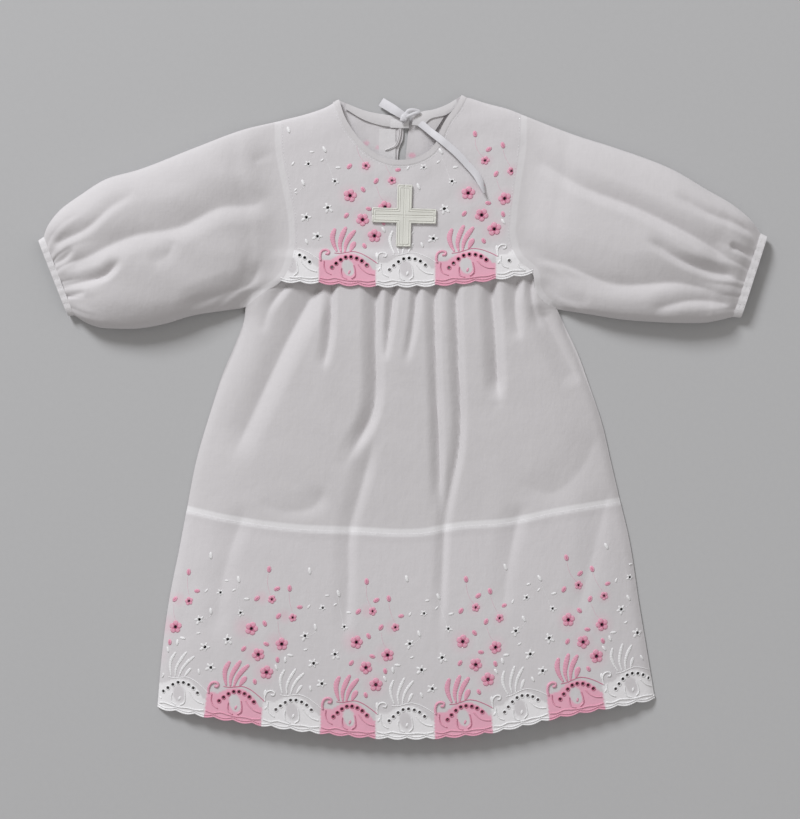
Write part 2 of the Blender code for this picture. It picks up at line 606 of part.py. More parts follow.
def make_cuff(name, cuff_seam, cuff_end):
    """A narrow band round the sleeve's end, flattened with it."""
    around = np.concatenate((TOP_STOPS[::2], [1.0], LOW_STOPS, [0.0]))
    tops = len(TOP_STOPS[::2]) + 1
    plan = patch(straight(cuff_seam[0], cuff_end[0]), straight(cuff_seam[1], cuff_end[1]),
                 straight(*cuff_seam), straight(*cuff_end))
    side = read_rows(SLEEVE_ROWS, "side", 1.0)

    def place(u, v):
        index = np.rint(u * (len(around) - 1)).astype(int)
        w = around[index]
        s = CUFF_SEAM_GAP + v * (1 - CUFF_SEAM_GAP)
        dome = np.clip(1 - np.abs(2 * w - 1)**7.6, 0, 1)**0.6
        turn = np.clip(np.minimum(w, 1 - w) / EDGE_TURN, 0, 1)
        top = side + (CUFF_TOP - side) * dome
        low = side - (side - BACK_MID) * np.sqrt(1 - (1 - turn)**2)
        z = np.where(index < tops, top, low)
        return np.column_stack((plan(s, w), z))

    stops = (np.linspace(0, 1, len(around)), np.linspace(0, 1, 2))
    return grid_piece(name, stops, place, CLOTH, batiste, closed=True)


# Applied pieces
def make_cross():
    """A cross laid on the yoke, with a raised rim and a raised line down each bar."""
    rim = 1.1
    half_bar = CROSS_BAR / 2
    halves = [span / 2 for span in CROSS_SPAN]

    def stops(half):
        inner = (half_bar, half_bar - rim, 0.6)
        outer = (half, half - rim)
        places = outer + inner
        return np.array(sorted([-place for place in places] + [0.0] + list(places)))

    def place(u, v):
        x = CROSS_CENTRE[0] + u * math.cos(CROSS_TILT) + v * math.sin(CROSS_TILT)
        y = CROSS_CENTRE[1] - u * math.sin(CROSS_TILT) + v * math.cos(CROSS_TILT)
        plan = np.column_stack((x, y))
        inside = np.where(np.abs(u) > half_bar, half_bar - np.abs(v),
                          np.where(np.abs(v) > half_bar, half_bar - np.abs(u), half_bar))
        from_end = np.minimum(halves[0] - np.abs(u), halves[1] - np.abs(v))
        from_edge = np.minimum(inside, from_end)
        ridge = np.where(from_edge < rim * 0.9, 0.35, 0.0)
        return np.column_stack((plan, yoke_height(plan) + ON_TOP + CROSS_CLEARANCE + ridge))

    def keep(centre):
        x = centre.x - CROSS_CENTRE[0]
        y = centre.y - CROSS_CENTRE[1]
        u = x * math.cos(CROSS_TILT) - y * math.sin(CROSS_TILT)
        v = x * math.sin(CROSS_TILT) + y * math.cos(CROSS_TILT)
        return abs(u) < half_bar or abs(v) < half_bar

    grid_piece("cross_applique", (stops(halves[0]), stops(halves[1])), place, CLOTH, satin, keep=keep)


def ribbon_strip(name, route, widths, twists, steps):
    """A flat ribbon swept along a route of (x, y, z) points."""
    path = Path(*route)

    def place(u, v):
        centre = path(u)
        along = path(np.clip(u + 0.01, 0, 1)) - path(np.clip(u - 0.01, 0, 1))
        along /= np.linalg.norm(along, axis=1)[:, None]
        level = np.column_stack((-along[:, 1], along[:, 0], np.zeros(len(u))))
        level /= np.linalg.norm(level, axis=1)[:, None]
        up = np.cross(along, level)
        turn = np.radians(np.interp(u, np.linspace(0, 1, len(twists)), twists))[:, None]
        side = level * np.cos(turn) + up * np.sin(turn)
        width = np.interp(u, np.linspace(0, 1, len(widths)), widths)[:, None]
        return centre + side * width * (v[:, None] - 0.5)

    return grid_piece(name, spread(steps, 2), place, RIBBON_WALL, satin)


# Where the ribbon runs, from the knot to its free end, in (x, y) and in height over the floor
TAIL_PLAN = ((9.4, 205.6), (13.2, 202.9), (17.6, 199.9), (23.0, 196.0), (28.0, 191.6), (33.6, 186.6),
             (39.4, 181.2), (45.0, 175.6), (50.2, 170.0), (54.6, 163.6), (58.2, 156.8))
TAIL_OVER_BACK = CLOTH + LAYER_GAP + RIBBON_WALL / 2


def make_ribbon():
    """Drawstring ribbon tied at the top of the slit: knot, a bight, a short tail and a long one."""
    tail = np.array(TAIL_PLAN)
    over_front = yoke_height(tail) + CLOTH / 2 + LAYER_GAP + RIBBON_WALL / 2 + TAIL_CLEARANCE
    heights = np.where(tail[:, 0] > 22, over_front, TAIL_OVER_BACK)
    heights[2] = TAIL_OVER_BACK + 1.6
    heights[-3:] += (0.3, 0.9, 1.8)
    route = [(x, y, z) for (x, y), z in zip(TAIL_PLAN, heights)]
    ribbon_strip("ribbon_tail_long", route, (RIBBON_WIDTH,) * 2, (0, 0, 0, 0, 6, 30), 26)

    knot_height = CLOTH + ON_TOP + LAYER_GAP + 2.1
    mesh = bpy.data.meshes.new("ribbon_knot")
    bm = bmesh.new()
    bmesh.ops.create_uvsphere(bm, u_segments=14, v_segments=9, radius=1.0)
    for vert in bm.verts:
        swell = 1 + 0.12 * math.cos(3 * math.atan2(vert.co.y, vert.co.x))
        vert.co.x = (KNOT_CENTRE[0] + vert.co.x * KNOT_HALF[0] * swell) * MM
        vert.co.y = (KNOT_CENTRE[1] + vert.co.y * KNOT_HALF[1] * swell) * MM
        vert.co.z = (knot_height + vert.co.z * KNOT_HALF[2]) * MM
    bm.to_mesh(mesh)
    bm.free()
    mesh.shade_smooth()
    new_object("ribbon_knot", mesh, satin)

    ribbon_strip("ribbon_tail_short", ((-3.4, 214.6, 4.6), (-7.6, 217.4, 3.6), (-12.0, 220.2, 1.6),
                                       (-15.6, 222.4, 1.0)), (4.6, RIBBON_WIDTH), (0, 0), 8)
    ribbon_strip("ribbon_bight", ((4.2, 213.8, 5.2), (6.6, 215.6, 5.8), (9.2, 216.2, 5.5), (12.4, 214.8, 4.6)),
                 (3.0, 3.6, 3.0), (0, 0), 8)


def clear_scene():
    for leftover in list(bpy.data.objects):
        bpy.data.objects.remove(leftover)


clear_scene()
gown = bpy.data.collections.new("christening_gown")
bpy.context.scene.collection.children.link(gown)
batiste = finish("white_batiste", (0.80, 0.79, 0.81), 0.8)
embroidered = finish("embroidered_batiste", (0.83, 0.72, 0.77), 0.7)
satin = finish("cream_satin", (0.84, 0.81, 0.73), 0.4)

make_skirts()
make_hem_bands()
make_front_yoke()
make_neck_casing()
make_back_yoke()
make_sleeve("sleeve_left", arm_armhole_left, back_armhole_left, sleeve_top_left, sleeve_low_left,
            CUFF_SEAM_LEFT, LEFT_SLEEVE_FOLDS)
make_sleeve("sleeve_right", arm_armhole_right, back_armhole_right, sleeve_top_right, sleeve_low_right,
            CUFF_SEAM_RIGHT, RIGHT_SLEEVE_FOLDS)
make_cuff("cuff_left", CUFF_SEAM_LEFT, CUFF_END_LEFT)
make_cuff("cuff_right", CUFF_SEAM_RIGHT, CUFF_END_RIGHT)
make_cross()
make_ribbon()
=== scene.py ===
"""Infant's baptismal shirt of white batiste, laid flat on its back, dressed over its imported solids.

Plans are drawn in millimetres: +X to the right of the shirt as it lies, +Y towards the neck, +Z up.
"""
import math
from collections import namedtuple

import bpy
import numpy as np
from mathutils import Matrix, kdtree
from mathutils.geometry import delaunay_2d_cdt


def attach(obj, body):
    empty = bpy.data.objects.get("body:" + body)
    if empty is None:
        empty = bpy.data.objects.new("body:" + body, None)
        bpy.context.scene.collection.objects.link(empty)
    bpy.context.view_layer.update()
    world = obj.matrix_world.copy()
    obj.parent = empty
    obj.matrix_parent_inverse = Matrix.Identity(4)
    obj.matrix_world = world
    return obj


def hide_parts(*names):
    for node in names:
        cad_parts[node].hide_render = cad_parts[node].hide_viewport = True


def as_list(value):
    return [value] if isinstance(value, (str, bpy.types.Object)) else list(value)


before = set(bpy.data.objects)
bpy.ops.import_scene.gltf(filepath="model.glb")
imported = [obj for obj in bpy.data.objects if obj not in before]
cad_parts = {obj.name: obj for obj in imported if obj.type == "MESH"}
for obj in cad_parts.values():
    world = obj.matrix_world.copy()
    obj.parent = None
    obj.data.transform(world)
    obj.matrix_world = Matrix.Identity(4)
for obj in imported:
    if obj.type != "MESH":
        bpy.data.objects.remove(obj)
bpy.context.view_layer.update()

# Sizes, in millimetres: the visible cloth's wall, the layers as they lie, and the pattern
MM = 0.001
WALL = 0.32
BACK_LAYER = 0.45
CLOTH = 1.2
LAYER_GAP = 0.3
BACK_MID = CLOTH / 2
FRONT_MID = BACK_MID + CLOTH + LAYER_GAP
ON_TOP = CLOTH + LAYER_GAP
OVER_GATHERS = 1.3
EYELET = 1.1
REPEAT = 80.0
BLOCK = REPEAT / 2
SCALLOP_DEPTH = 1.5
HEM_SCALLOPS = 26
YOKE_SCALLOPS = 13
# Width of the hem band's turned edge, and how far turned edges stand above single cloth
HEM_TURN = 4.5
TURNED_RISE = 0.24
CASING_RISE = 0.34

CASING_WIDTH = 4.6
RIBBON_WALL = 0.7
CUFF_TOP = 7.4
CUFF_GATHERS = 9

CROSS_CENTRE = (1.0, 140.8)
CROSS_SPAN = (45.0, 43.4)
CROSS_BAR = 10.4
CROSS_TILT = math.radians(1.5)

# The side that the folds lean away from, in plan
UPHILL = (-0.5, 0.866)
# Slope of the banks at the floor of a fold, and what a narrow fold has more
BODY_STEEPNESS = 0.60
SLEEVE_STEEPNESS = 0.74
NARROW_STEEPNESS = 2.3
FOLD_ROUNDING = 0.9
# Least reach downhill as a share of that uphill, and the share of a fold's length where it runs out
LEAST_DOWNHILL = 0.6
RUN_OUT = 0.2
SHALLOW_FOLD = 0.3

# Outline of the gown in plan
UNDERARM_LEFT = (-110.4, 77.0)
UNDERARM_RIGHT = (108.4, 75.7)
SHOULDER_LEFT = (-85.6, 208.2)
SHOULDER_RIGHT = (83.2, 212.8)
NECK_LEFT = (-44.8, 223.0)
NECK_RIGHT = (41.4, 226.2)
YOKE_TIP_LEFT = (-85.5, 94.6)
YOKE_TIP_RIGHT = (91.0, 100.2)
SEAM_END_LEFT = (-152.2, -66.5)
SEAM_END_RIGHT = (153.2, -60.5)
HEM_END_LEFT = (-172.6, -204.6)
HEM_END_RIGHT = (177.3, -198.4)
SKIRT_TOP_LEFT = (-79.2, 105.0)
SKIRT_TOP_RIGHT = (80.2, 111.0)
CUFF_SEAM_LEFT = ((-252.0, 126.2), (-230.9, 71.6))
CUFF_SEAM_RIGHT = ((251.4, 128.6), (231.9, 70.3))
CUFF_END_LEFT = ((-255.6, 123.8), (-234.8, 71.1))
CUFF_END_RIGHT = ((255.6, 126.6), (237.4, 69.9))

# Height of the front of the body above its resting height, by rows up the gown.
# crown: at the middle; edge: the share of it that is left at the side
BodyRow = namedtuple("BodyRow", "y crown edge")
BODY_ROWS = [BodyRow(*row) for row in (
    (-228, 7.5, 0.0), (-150, 8.5, 0.0), (-80, 8.0, 0.0), (0, 9.0, 0.0), (70, 9.0, 0.0), (95, 7.5, 0.45),
    (120, 6.2, 0.60), (160, 5.4, 0.65), (200, 4.2, 0.55), (230, 3.4, 0.45))]

# Height of a sleeve along the arm, from the armhole (0) to the cuff (1).
# crown: top of the cloth; side: the fold at its two edges
SleeveRow = namedtuple("SleeveRow", "along crown side")
SLEEVE_ROWS = [SleeveRow(*row) for row in (
    (0.0, 6.5, 2.6), (0.15, 12.0, 4.4), (0.4, 19.5, 7.0), (0.65, 22.0, 8.0), (0.85, 17.0, 6.6),
    (1.0, CUFF_TOP, 4.0))]

# A fold: the line of its floor in plan, its reach uphill and downhill, and its depth at each end
# as a share of the cloth's height there
Fold = namedtuple("Fold", "line uphill downhill depth_start depth_end")
BODY_FOLDS = (
    Fold(((-61, 90), (-78, 59), (-99, 15), (-121, -32)), 24, 9, 0.70, 0.50),
    Fold(((-50, 92), (-51, 57), (-56, 31)), 7, 3.5, 0.60, 0.15),
    Fold(((-19, 92), (-19, 50), (-21, 3), (-40, -32)), 10, 4, 0.65, 0.40),
    Fold(((-18, -10), (-29, -50), (-37, -80), (-38, -114), (-41, -163)), 11, 6, 0.29, 0.15),
    Fold(((-6, 92), (-9, 64), (-13, 36)), 6, 3.5, 0.65, 0.10),
    Fold(((10, 92), (7, 61), (2, 36)), 4.5, 4, 0.40, 0.10),
    Fold(((22, 92), (23, 47), (25, -9), (26, -73)), 7, 3.5, 0.60, 0.30),
    Fold(((37, 92), (39, 40), (40, -16), (30, -73), (28, -107), (26, -163)), 7, 4, 0.55, 0.12),
    Fold(((62, 92), (65, 54), (67, 10)), 10, 3.5, 0.70, 0.50),
    Fold(((80, 94), (79, 78), (82, 52)), 8, 3.5, 0.60, 0.10),
    Fold(((90, 96), (91, 80), (97, 60)), 5, 3, 0.45, 0.10),
    Fold(((138, -6), (128, -32), (103, -53), (79, -44)), 24, 18, 0.24, 0.16),
    Fold(((-104, -58), (-79, -66), (-60, -61), (-54, -48)), 15, 7, 0.04, 0.20),
    Fold(((100, 70), (112, 46), (124, 22)), 14, 6, 0.60, 0.40),
    Fold(((-82, 92), (-94, 75), (-99, 57)), 8, 5, 0.40, 0.10),
    Fold(((84, -58), (75, -96), (69, -142)), 14, 8, 0.24, 0.08),
    Fold(((146, -46), (136, -84), (121, -142)), 16, 10, 0.22, 0.10),
    Fold(((-108, -58), (-124, -104), (-132, -156)), 16, 10, 0.22, 0.12),
)
LEFT_SLEEVE_FOLDS = (
    Fold(((-240, 122), (-219, 132), (-204, 145), (-184, 158)), 9, 5, 0.32, 0.06),
    Fold(((-227, 108), (-187, 126), (-156, 132), (-127, 146), (-101, 150), (-88, 164)), 22, 9, 0.34, 0.38),
    Fold(((-247, 106), (-236, 111), (-229, 118)), 5, 3, 0.40, 0.15),
    Fold(((-241, 92), (-223, 94), (-206, 99), (-195, 111)), 8, 4, 0.45, 0.25),
    Fold(((-237, 84), (-220, 87)), 5, 3, 0.40, 0.10),
    Fold(((-155, 74), (-124, 87), (-106, 94), (-99, 110)), 13, 6, 0.20, 0.40),
    Fold(((-176, 106), (-163, 113), (-158, 124)), 10, 8, 0.05, 0.10),
    Fold(((-106, 178), (-87, 186)), 6, 4, 0.10, 0.30),
)
RIGHT_SLEEVE_FOLDS = (
    Fold(((98, 178), (124, 161), (161, 146), (201, 126), (242, 102)), 13, 6, 0.30, 0.42),
    Fold(((186, 157), (210, 143), (233, 134), (250, 125)), 7, 3.5, 0.10, 0.45),
    Fold(((167, 125), (197, 107), (237, 97)), 7, 5, 0.15, 0.45),
    Fold(((83, 114), (111, 107), (146, 93), (194, 93), (233, 84)), 22, 8, 0.34, 0.42),
    Fold(((170, 73), (201, 81), (221, 80), (235, 76)), 12, 6, 0.20, 0.45),
    Fold(((100, 94), (111, 84), (132, 79)), 12, 6, 0.35, 0.15),
    Fold(((231, 118), (249, 111)), 4, 3, 0.30, 0.40),
)


def smoothstep(x):
    x = np.clip(x, 0.0, 1.0)
    return x * x * (3 - 2 * x)


class Path:
    """A smooth curve through a few points, read by a share of its length from 0 to 1."""

    def __init__(self, *points):
        self.points = np.array(points, dtype=float)
        steps = np.linalg.norm(np.diff(self.points, axis=0), axis=1)
        self.knots = np.concatenate(([0.0], np.cumsum(steps) / steps.sum()))
        slopes = np.diff(self.points, axis=0) / np.diff(self.knots)[:, None]
        tangents = np.empty_like(self.points)
        tangents[0] = slopes[0]
        tangents[-1] = slopes[-1]
        before = np.diff(self.knots)[:-1, None]
        after = np.diff(self.knots)[1:, None]
        tangents[1:-1] = (slopes[1:] * before + slopes[:-1] * after) / (before + after)
        self.tangents = tangents

    def __call__(self, share):
        share = np.clip(np.atleast_1d(np.asarray(share, dtype=float)), 0.0, 1.0)
        span = np.clip(np.searchsorted(self.knots, share, side="right") - 1, 0, len(self.knots) - 2)
        width = (self.knots[span + 1] - self.knots[span])[:, None]
        t = (share[:, None] - self.knots[span][:, None]) / width
        start = self.points[span]
        end = self.points[span + 1]
        leave = self.tangents[span] * width
        arrive = self.tangents[span + 1] * width
        return ((2 * t**3 - 3 * t**2 + 1) * start + (t**3 - 2 * t**2 + t) * leave
                + (3 * t**2 - 2 * t**3) * end + (t**3 - t**2) * arrive)

    def share_of(self, point):
        """Where the curve passes one of its own points."""
        return self.knots[np.argmin(np.linalg.norm(self.points - point, axis=1))]

    def normal(self, share):
        """Unit vector to the left of the way the path runs, in plan."""
        step = 0.002
        along = self(np.asarray(share) + step) - self(np.asarray(share) - step)
        across = np.stack((-along[:, 1], along[:, 0]), axis=1)
        return across / np.linalg.norm(across, axis=1)[:, None]


def sampled(curve, count, start=0.0, end=1.0):
    return curve(np.linspace(start, end, count))


def beside(path, distance):
    """A path's points moved sideways, to the left of the way it runs."""
    return lambda share: path(share) + path.normal(np.atleast_1d(share)) * distance


def chain(*links):
    """Curves joined with corners; a link is a curve and the share of the chain where it ends."""
    ends = [0.0] + [end for _, end in links]

    def read(share):
        share = np.atleast_1d(np.asarray(share, dtype=float))
        out = np.empty((len(share), 2))
        for (curve, end), start in zip(links, ends):
            inside = (share >= start) & (share <= end)
            out[inside] = curve((share[inside] - start) / (end - start))
        return out

    return read


def reverse(curve):
    return lambda share: curve(1 - np.asarray(share))


def part_of(curve, start, end):
    return lambda share: curve(start + (end - start) * np.asarray(share))


def patch(bottom, top, left, right):
    """Plan of a panel from its four edges: bottom and top run to the right, left and right run up."""

    def plan(u, v):
        corners = [curve([end])[0] for curve in (bottom, top) for end in (0.0, 1.0)]
        across = u[:, None]
        up = v[:, None]
        edges = (1 - up) * bottom(u) + up * top(u) + (1 - across) * left(v) + across * right(v)
        lower = (1 - across) * corners[0] + across * corners[1]
        upper = (1 - across) * corners[2] + across * corners[3]
        return edges - (1 - up) * lower - up * upper

    return plan


def straight_ended(low, top):
    """Plan of a panel between two curves, straight at its two ends."""
    return patch(low, top, Path(low(0)[0], top(0)[0]), Path(low(1)[0], top(1)[0]))


# Seams and edges in plan
side_left = Path(UNDERARM_LEFT, (-111.2, 70), (-117.5, 52), (-126, 32), (-136, 1), (-145, -30),
                 SEAM_END_LEFT)
side_right = Path(UNDERARM_RIGHT, (114.5, 63), (123, 45), (131, 23), (140, -4), (147, -34),
                  SEAM_END_RIGHT)
hem_side_left = Path(SEAM_END_LEFT, (-157, -92), (-164, -127), (-170.2, -175), HEM_END_LEFT)
hem_side_right = Path(SEAM_END_RIGHT, (158, -80), (166.7, -134), (174, -178), HEM_END_RIGHT)
hem_seam = Path(SEAM_END_LEFT, (-121.7, -72.9), (-77.6, -79), (-34, -81), (12, -82.2), (40, -77.6),
                (73, -74.9), (106, -68), SEAM_END_RIGHT)
hem_line = Path(HEM_END_LEFT, (-120, -212.5), (-60, -220.8), (0, -225.1), (60, -221), (110, -210),
                HEM_END_RIGHT)
yoke_line = Path(YOKE_TIP_LEFT, (-60, 93.4), (-20, 91.2), (20, 91.6), (60, 95.4), YOKE_TIP_RIGHT)
armhole_left = Path(UNDERARM_LEFT, (-97.6, 87), YOKE_TIP_LEFT, SKIRT_TOP_LEFT, (-75.8, 120), (-76, 138),
                    (-80.5, 164), (-85, 188), SHOULDER_LEFT)
armhole_right = Path(UNDERARM_RIGHT, (98.5, 81), (92.8, 89.5), YOKE_TIP_RIGHT, SKIRT_TOP_RIGHT, (75.2, 126),
                     (75.8, 140), (79, 166), (82.4, 190), SHOULDER_RIGHT)
back_armhole_left = Path(UNDERARM_LEFT, (-89, 100), (-78, 132), (-81, 172), SHOULDER_LEFT)
back_armhole_right = Path(UNDERARM_RIGHT, (88, 102), (77, 134), (80, 174), SHOULDER_RIGHT)
shoulder_left = Path(SHOULDER_LEFT, (-65, 213.6), (-53, 218), NECK_LEFT)
shoulder_right = Path(NECK_RIGHT, (56.8, 220.9), (74.8, 216), SHOULDER_RIGHT)
neck_front = Path(NECK_LEFT, (-40, 209.3), (-32.5, 197.7), (-22.5, 187.2), (-11.2, 181.4), (0, 180.2),
                  (10.3, 182.2), (18.8, 187.2), (23.8, 193.5), (26.4, 201.2), (31, 209.8), (37, 217.8),
                  NECK_RIGHT)
neck_back_left = Path(NECK_LEFT, (-35, 218.5), (-26.5, 215.5), (-9.7, 212.3), (3.8, 210.6))
neck_back_right = Path((6.6, 212.6), (12, 214.4), (21, 215.9), (31.6, 220.1), NECK_RIGHT)
slit_left = Path((-0.5, 98), (-1.2, 120), (-2.6, 150), (-3.4, 180), (-2.4, 189.6), (0.0, 195.2), (0.8, 203),
                 (3.8, 210.6))
slit_right = Path((0.5, 98), (0.4, 120), (0.9, 150), (1.9, 180), (3.0, 192), (4.3, 203), (6.6, 212.6))
sleeve_top_left = Path(SHOULDER_LEFT, (-109, 202.4), (-146, 188.4), (-185, 173), (-209, 165.8),
                       (-224, 156.5), (-243, 142), (-250, 132), CUFF_SEAM_LEFT[0])
sleeve_low_left = Path(UNDERARM_LEFT, (-129, 74.2), (-147, 71.2), (-168, 65), (-186, 62), (-202, 62),
                       (-213, 63), (-221, 65.8), CUFF_SEAM_LEFT[1])
sleeve_top_right = Path(SHOULDER_RIGHT, (92.5, 208.9), (119.5, 198), (150, 188), (191, 172),
                        (212, 159.5), (232, 148), (246, 136), CUFF_SEAM_RIGHT[0])
sleeve_low_right = Path(UNDERARM_RIGHT, (131.7, 72), (151.3, 68.7), (176.5, 66.6), (195, 65.9),
                        (214, 66.4), CUFF_SEAM_RIGHT[1])
# Where the back yoke's lower edge meets the armhole of the back, along it
BACK_YOKE_SHARE = 0.2


def scalloped(line, count):
    """An edge whose small scallops hang below a line that runs to the right."""

    def edge(share):
        share = np.atleast_1d(share)
        points = line(share)
        points[:, 1] -= SCALLOP_DEPTH * (np.abs(np.sin(math.pi * count * share)) - 0.5)
        return points

    return edge


def read_rows(rows, column, at):
    """A column of a table, read smoothly at places along its first column."""
    curve = Path(*[(row[0], getattr(row, column)) for row in rows])
    fine = sampled(curve, 400)
    return np.interp(at, fine[:, 0], fine[:, 1])


def line_x(curves, y):
    """Where a side made of curves stands at each height of the plan."""
    points = np.concatenate([sampled(curve, 80) for curve in curves])
    points = points[np.argsort(points[:, 1])]
    return np.interp(y, points[:, 1], points[:, 0])


def sink_folds(plan, folds, lift, steepness, spare=0.0):
    """How far the cloth sinks at its folds, in mm: a long bank steepening to a crisp floor, then a rise."""
    kept = np.ones(len(plan))
    room = lift + spare
    for fold in folds:
        line = sampled(Path(*fold.line), 8 * len(fold.line))
        best = np.full(len(plan), 1e9)
        share = np.zeros(len(plan))
        lean = np.zeros(len(plan))
        for index, (start, end) in enumerate(zip(line, line[1:])):
            along = end - start
            across = np.array((-along[1], along[0])) / np.linalg.norm(along)
            if np.dot(across, UPHILL) < 0:
                across = -across
            t = np.clip((plan - start) @ along / (along @ along), 0, 1)
            offset = plan - start - t[:, None] * along
            distance = np.linalg.norm(offset, axis=1)
            nearer = distance < best
            best[nearer] = distance[nearer]
            share[nearer] = (index + t[nearer]) / (len(line) - 1)
            lean[nearer] = (offset @ across)[nearer] / np.maximum(distance[nearer], 1e-9)
        downhill = max(fold.downhill, LEAST_DOWNHILL * fold.uphill)
        leaning = smoothstep((lean + 1) / 2)
        reach = downhill + (fold.uphill - downhill) * leaning
        near = np.clip(1 - (np.hypot(best, FOLD_ROUNDING) - FOLD_ROUNDING) / reach, 0, 1)
        depth = (fold.depth_start + (fold.depth_end - fold.depth_start) * share) * room
        steepest = (steepness * fold.uphill + NARROW_STEEPNESS) / 1.6
        depth = np.minimum(depth, steepest) * (1 - 0.9 * smoothstep((share - (1 - RUN_OUT)) / RUN_OUT))
        if fold.depth_start < SHALLOW_FOLD:
            depth = depth * smoothstep(share / RUN_OUT)
        kept *= 1 - depth * near**(1.9 - 0.4 * leaning) / np.maximum(room, 0.01)
    return room * (1 - kept)


def side_places(plan):
    """Where the two sides of the body stand beside each point, and how far across the body it lies."""
    x, y = plan[:, 0], plan[:, 1]
    left = line_x((hem_side_left, side_left), y)
    right = line_x((hem_side_right, side_right), y)
    arm_left = line_x((hem_side_left, side_left, armhole_left), y)
    arm_right = line_x((hem_side_right, side_right, armhole_right), y)
    return np.clip((x - left) / (right - left), 0, 1), np.minimum(x - arm_left, arm_right - x)


def body_lift(plan):
    u, _ = side_places(plan)
    edge = read_rows(BODY_ROWS, "edge", plan[:, 1])
    rounding = 1 - np.abs(2 * u - 1)**6
    lift = read_rows(BODY_ROWS, "crown", plan[:, 1]) * (edge + (1 - edge) * rounding)
    shoulders = np.concatenate((sampled(shoulder_left, 20), sampled(shoulder_right, 20)))
    below = np.clip((np.interp(plan[:, 0], shoulders[:, 0], shoulders[:, 1]) - plan[:, 1]) / 20.0, 0, 1)
    return lift * np.sqrt(1 - (1 - below)**2)


def ripple(plan, angle, wavelength, seed):
    """Soft, slightly wandering ripples across the cloth, from -1 to 1."""
    along = plan[:, 0] * math.cos(angle) + plan[:, 1] * math.sin(angle)
    across = -plan[:, 0] * math.sin(angle) + plan[:, 1] * math.cos(angle)
    drift = 1.6 * np.sin(across / 31 + seed) + 0.9 * np.sin(across / 13 + 2.1 * seed)
    fade = 0.5 + 0.5 * np.sin(across / 43 + along / 57 + 3 * seed)
    return np.sin(2 * math.pi * along / wavelength + drift) * fade


def skirt_height(plan):
    """Front of the skirt and hem: its folds, the soft ripples between them and the rolled sides."""
    _, from_side = side_places(plan)
    lift = body_lift(plan)
    height = FRONT_MID + lift - sink_folds(plan, BODY_FOLDS, lift, BODY_STEEPNESS, 1.1)
    calm = smoothstep(from_side / 14)
    height += calm * (0.12 * ripple(plan, 0.08, 26, 0.4) + 0.10 * ripple(plan, 1.35, 33, 2.6))
    gathered = smoothstep((plan[:, 1] - 62) / 30)
    height += calm * gathered * 0.42 * ripple(plan, 0.06, 11.5, 1.1)
    rolled = 0.6 * (1 - smoothstep(from_side / 6)) + 0.4 * (1 - smoothstep(from_side / 2.5))
    rolled = rolled * smoothstep((80 - plan[:, 1]) / 18)
    return np.maximum(height - rolled * (FRONT_MID - BACK_LAYER - WALL), BACK_LAYER + WALL)


def hem_height(plan):
    """The hem band, whose upper edge is turned in and laid on the lower edge of the skirt."""
    turned = 1.3 - distance_to(plan, sampled(hem_seam, 500)) / HEM_TURN
    return skirt_height(plan) + TURNED_RISE * np.clip(turned, 0, 1)


def yoke_height(plan):
    over_skirt = smoothstep((119 - plan[:, 1]) / 8)
    height = FRONT_MID + body_lift(plan) + OVER_GATHERS * over_skirt
    return height + 0.16 * ripple(plan, 0.5, 31, 0.9) + 0.1 * ripple(plan, 1.9, 19, 2.2)


def armhole_height(plan):
    on_yoke = smoothstep((plan[:, 1] - 88) / 10)
    return skirt_height(plan) * (1 - on_yoke) + yoke_height(plan) * on_yoke


def back_height(plan):
    """The back lies flat, but for soft waves where it shows in the neck."""
    shown = smoothstep((plan[:, 1] - 168) / 14) * smoothstep((214 - plan[:, 1]) / 8)
    return BACK_LAYER + shown * (0.3 + 0.28 * ripple(plan, 0.25, 15, 0.5))


# Cloth
def mesh_piece(name, points, faces, material, values=None):
    """A mesh from points in millimetres, with a value at each point for its material to read."""
    mesh = bpy.data.meshes.new(name)
    faces = [tuple(face) for face in faces]
    mesh.from_pydata([tuple(point) for point in np.asarray(points) * MM], [], faces)
    for key, numbers in (values or {}).items():
        layer = mesh.attributes.new(key, "FLOAT", "POINT")
        layer.data.foreach_set("value", np.asarray(numbers, dtype=float))
    mesh.shade_smooth()
    piece = bpy.data.objects.new(name, mesh)
    piece.data.materials.append(material)
    bpy.context.scene.collection.objects.link(piece)
    return piece


def give_wall(piece, wall=WALL):
    solidify = piece.modifiers.new("Cloth wall", "SOLIDIFY")
    solidify.thickness = wall * MM
    solidify.offset = 0
    graph = bpy.context.evaluated_depsgraph_get()
    mesh = bpy.data.meshes.new_from_object(piece.evaluated_get(graph))
    mesh.set_sharp_from_angle(angle=math.radians(50))
    piece.modifiers.remove(solidify)
    piece.data = mesh
    return piece


def grid_faces(columns, rows, closed=False):
    """Quads of a grid whose points run along each row first."""
    faces = []
    for row in range(rows - 1):
        for column in range(columns if closed else columns - 1):
            after = (column + 1) % columns
            low = row * columns
            faces.append((low + column, low + after, low + columns + after, low + columns + column))
    return faces


def grid_cloth(name, plan, height, columns, rows, material, values, side_stops=()):
    """A panel without holes: an even grid over its plan, denser beside its two sides."""
    u = np.linspace(0, 1, columns)
    extra = np.array(side_stops)
    u = np.sort(np.concatenate((u, extra, 1 - extra)))
    v = np.linspace(0, 1, rows)
    points = plan(np.tile(u, rows), np.repeat(v, len(u)))
    heights = height(points)
    told = {key: rule(points) for key, rule in values.items()}
    faces = grid_faces(len(u), rows)
    return give_wall(mesh_piece(name, np.column_stack((points, heights)), faces, material, told))


def inside(points, outline):
    """Which points lie inside a closed outline."""
    x, y = points[:, 0], points[:, 1]
    odd = np.zeros(len(points), bool)
    for (x0, y0), (x1, y1) in zip(outline, np.roll(outline, -1, axis=0)):
        if y0 == y1:
            continue
        crosses = (y0 > y) != (y1 > y)
        odd ^= crosses & (x < x0 + (y - y0) / (y1 - y0) * (x1 - x0))
    return odd


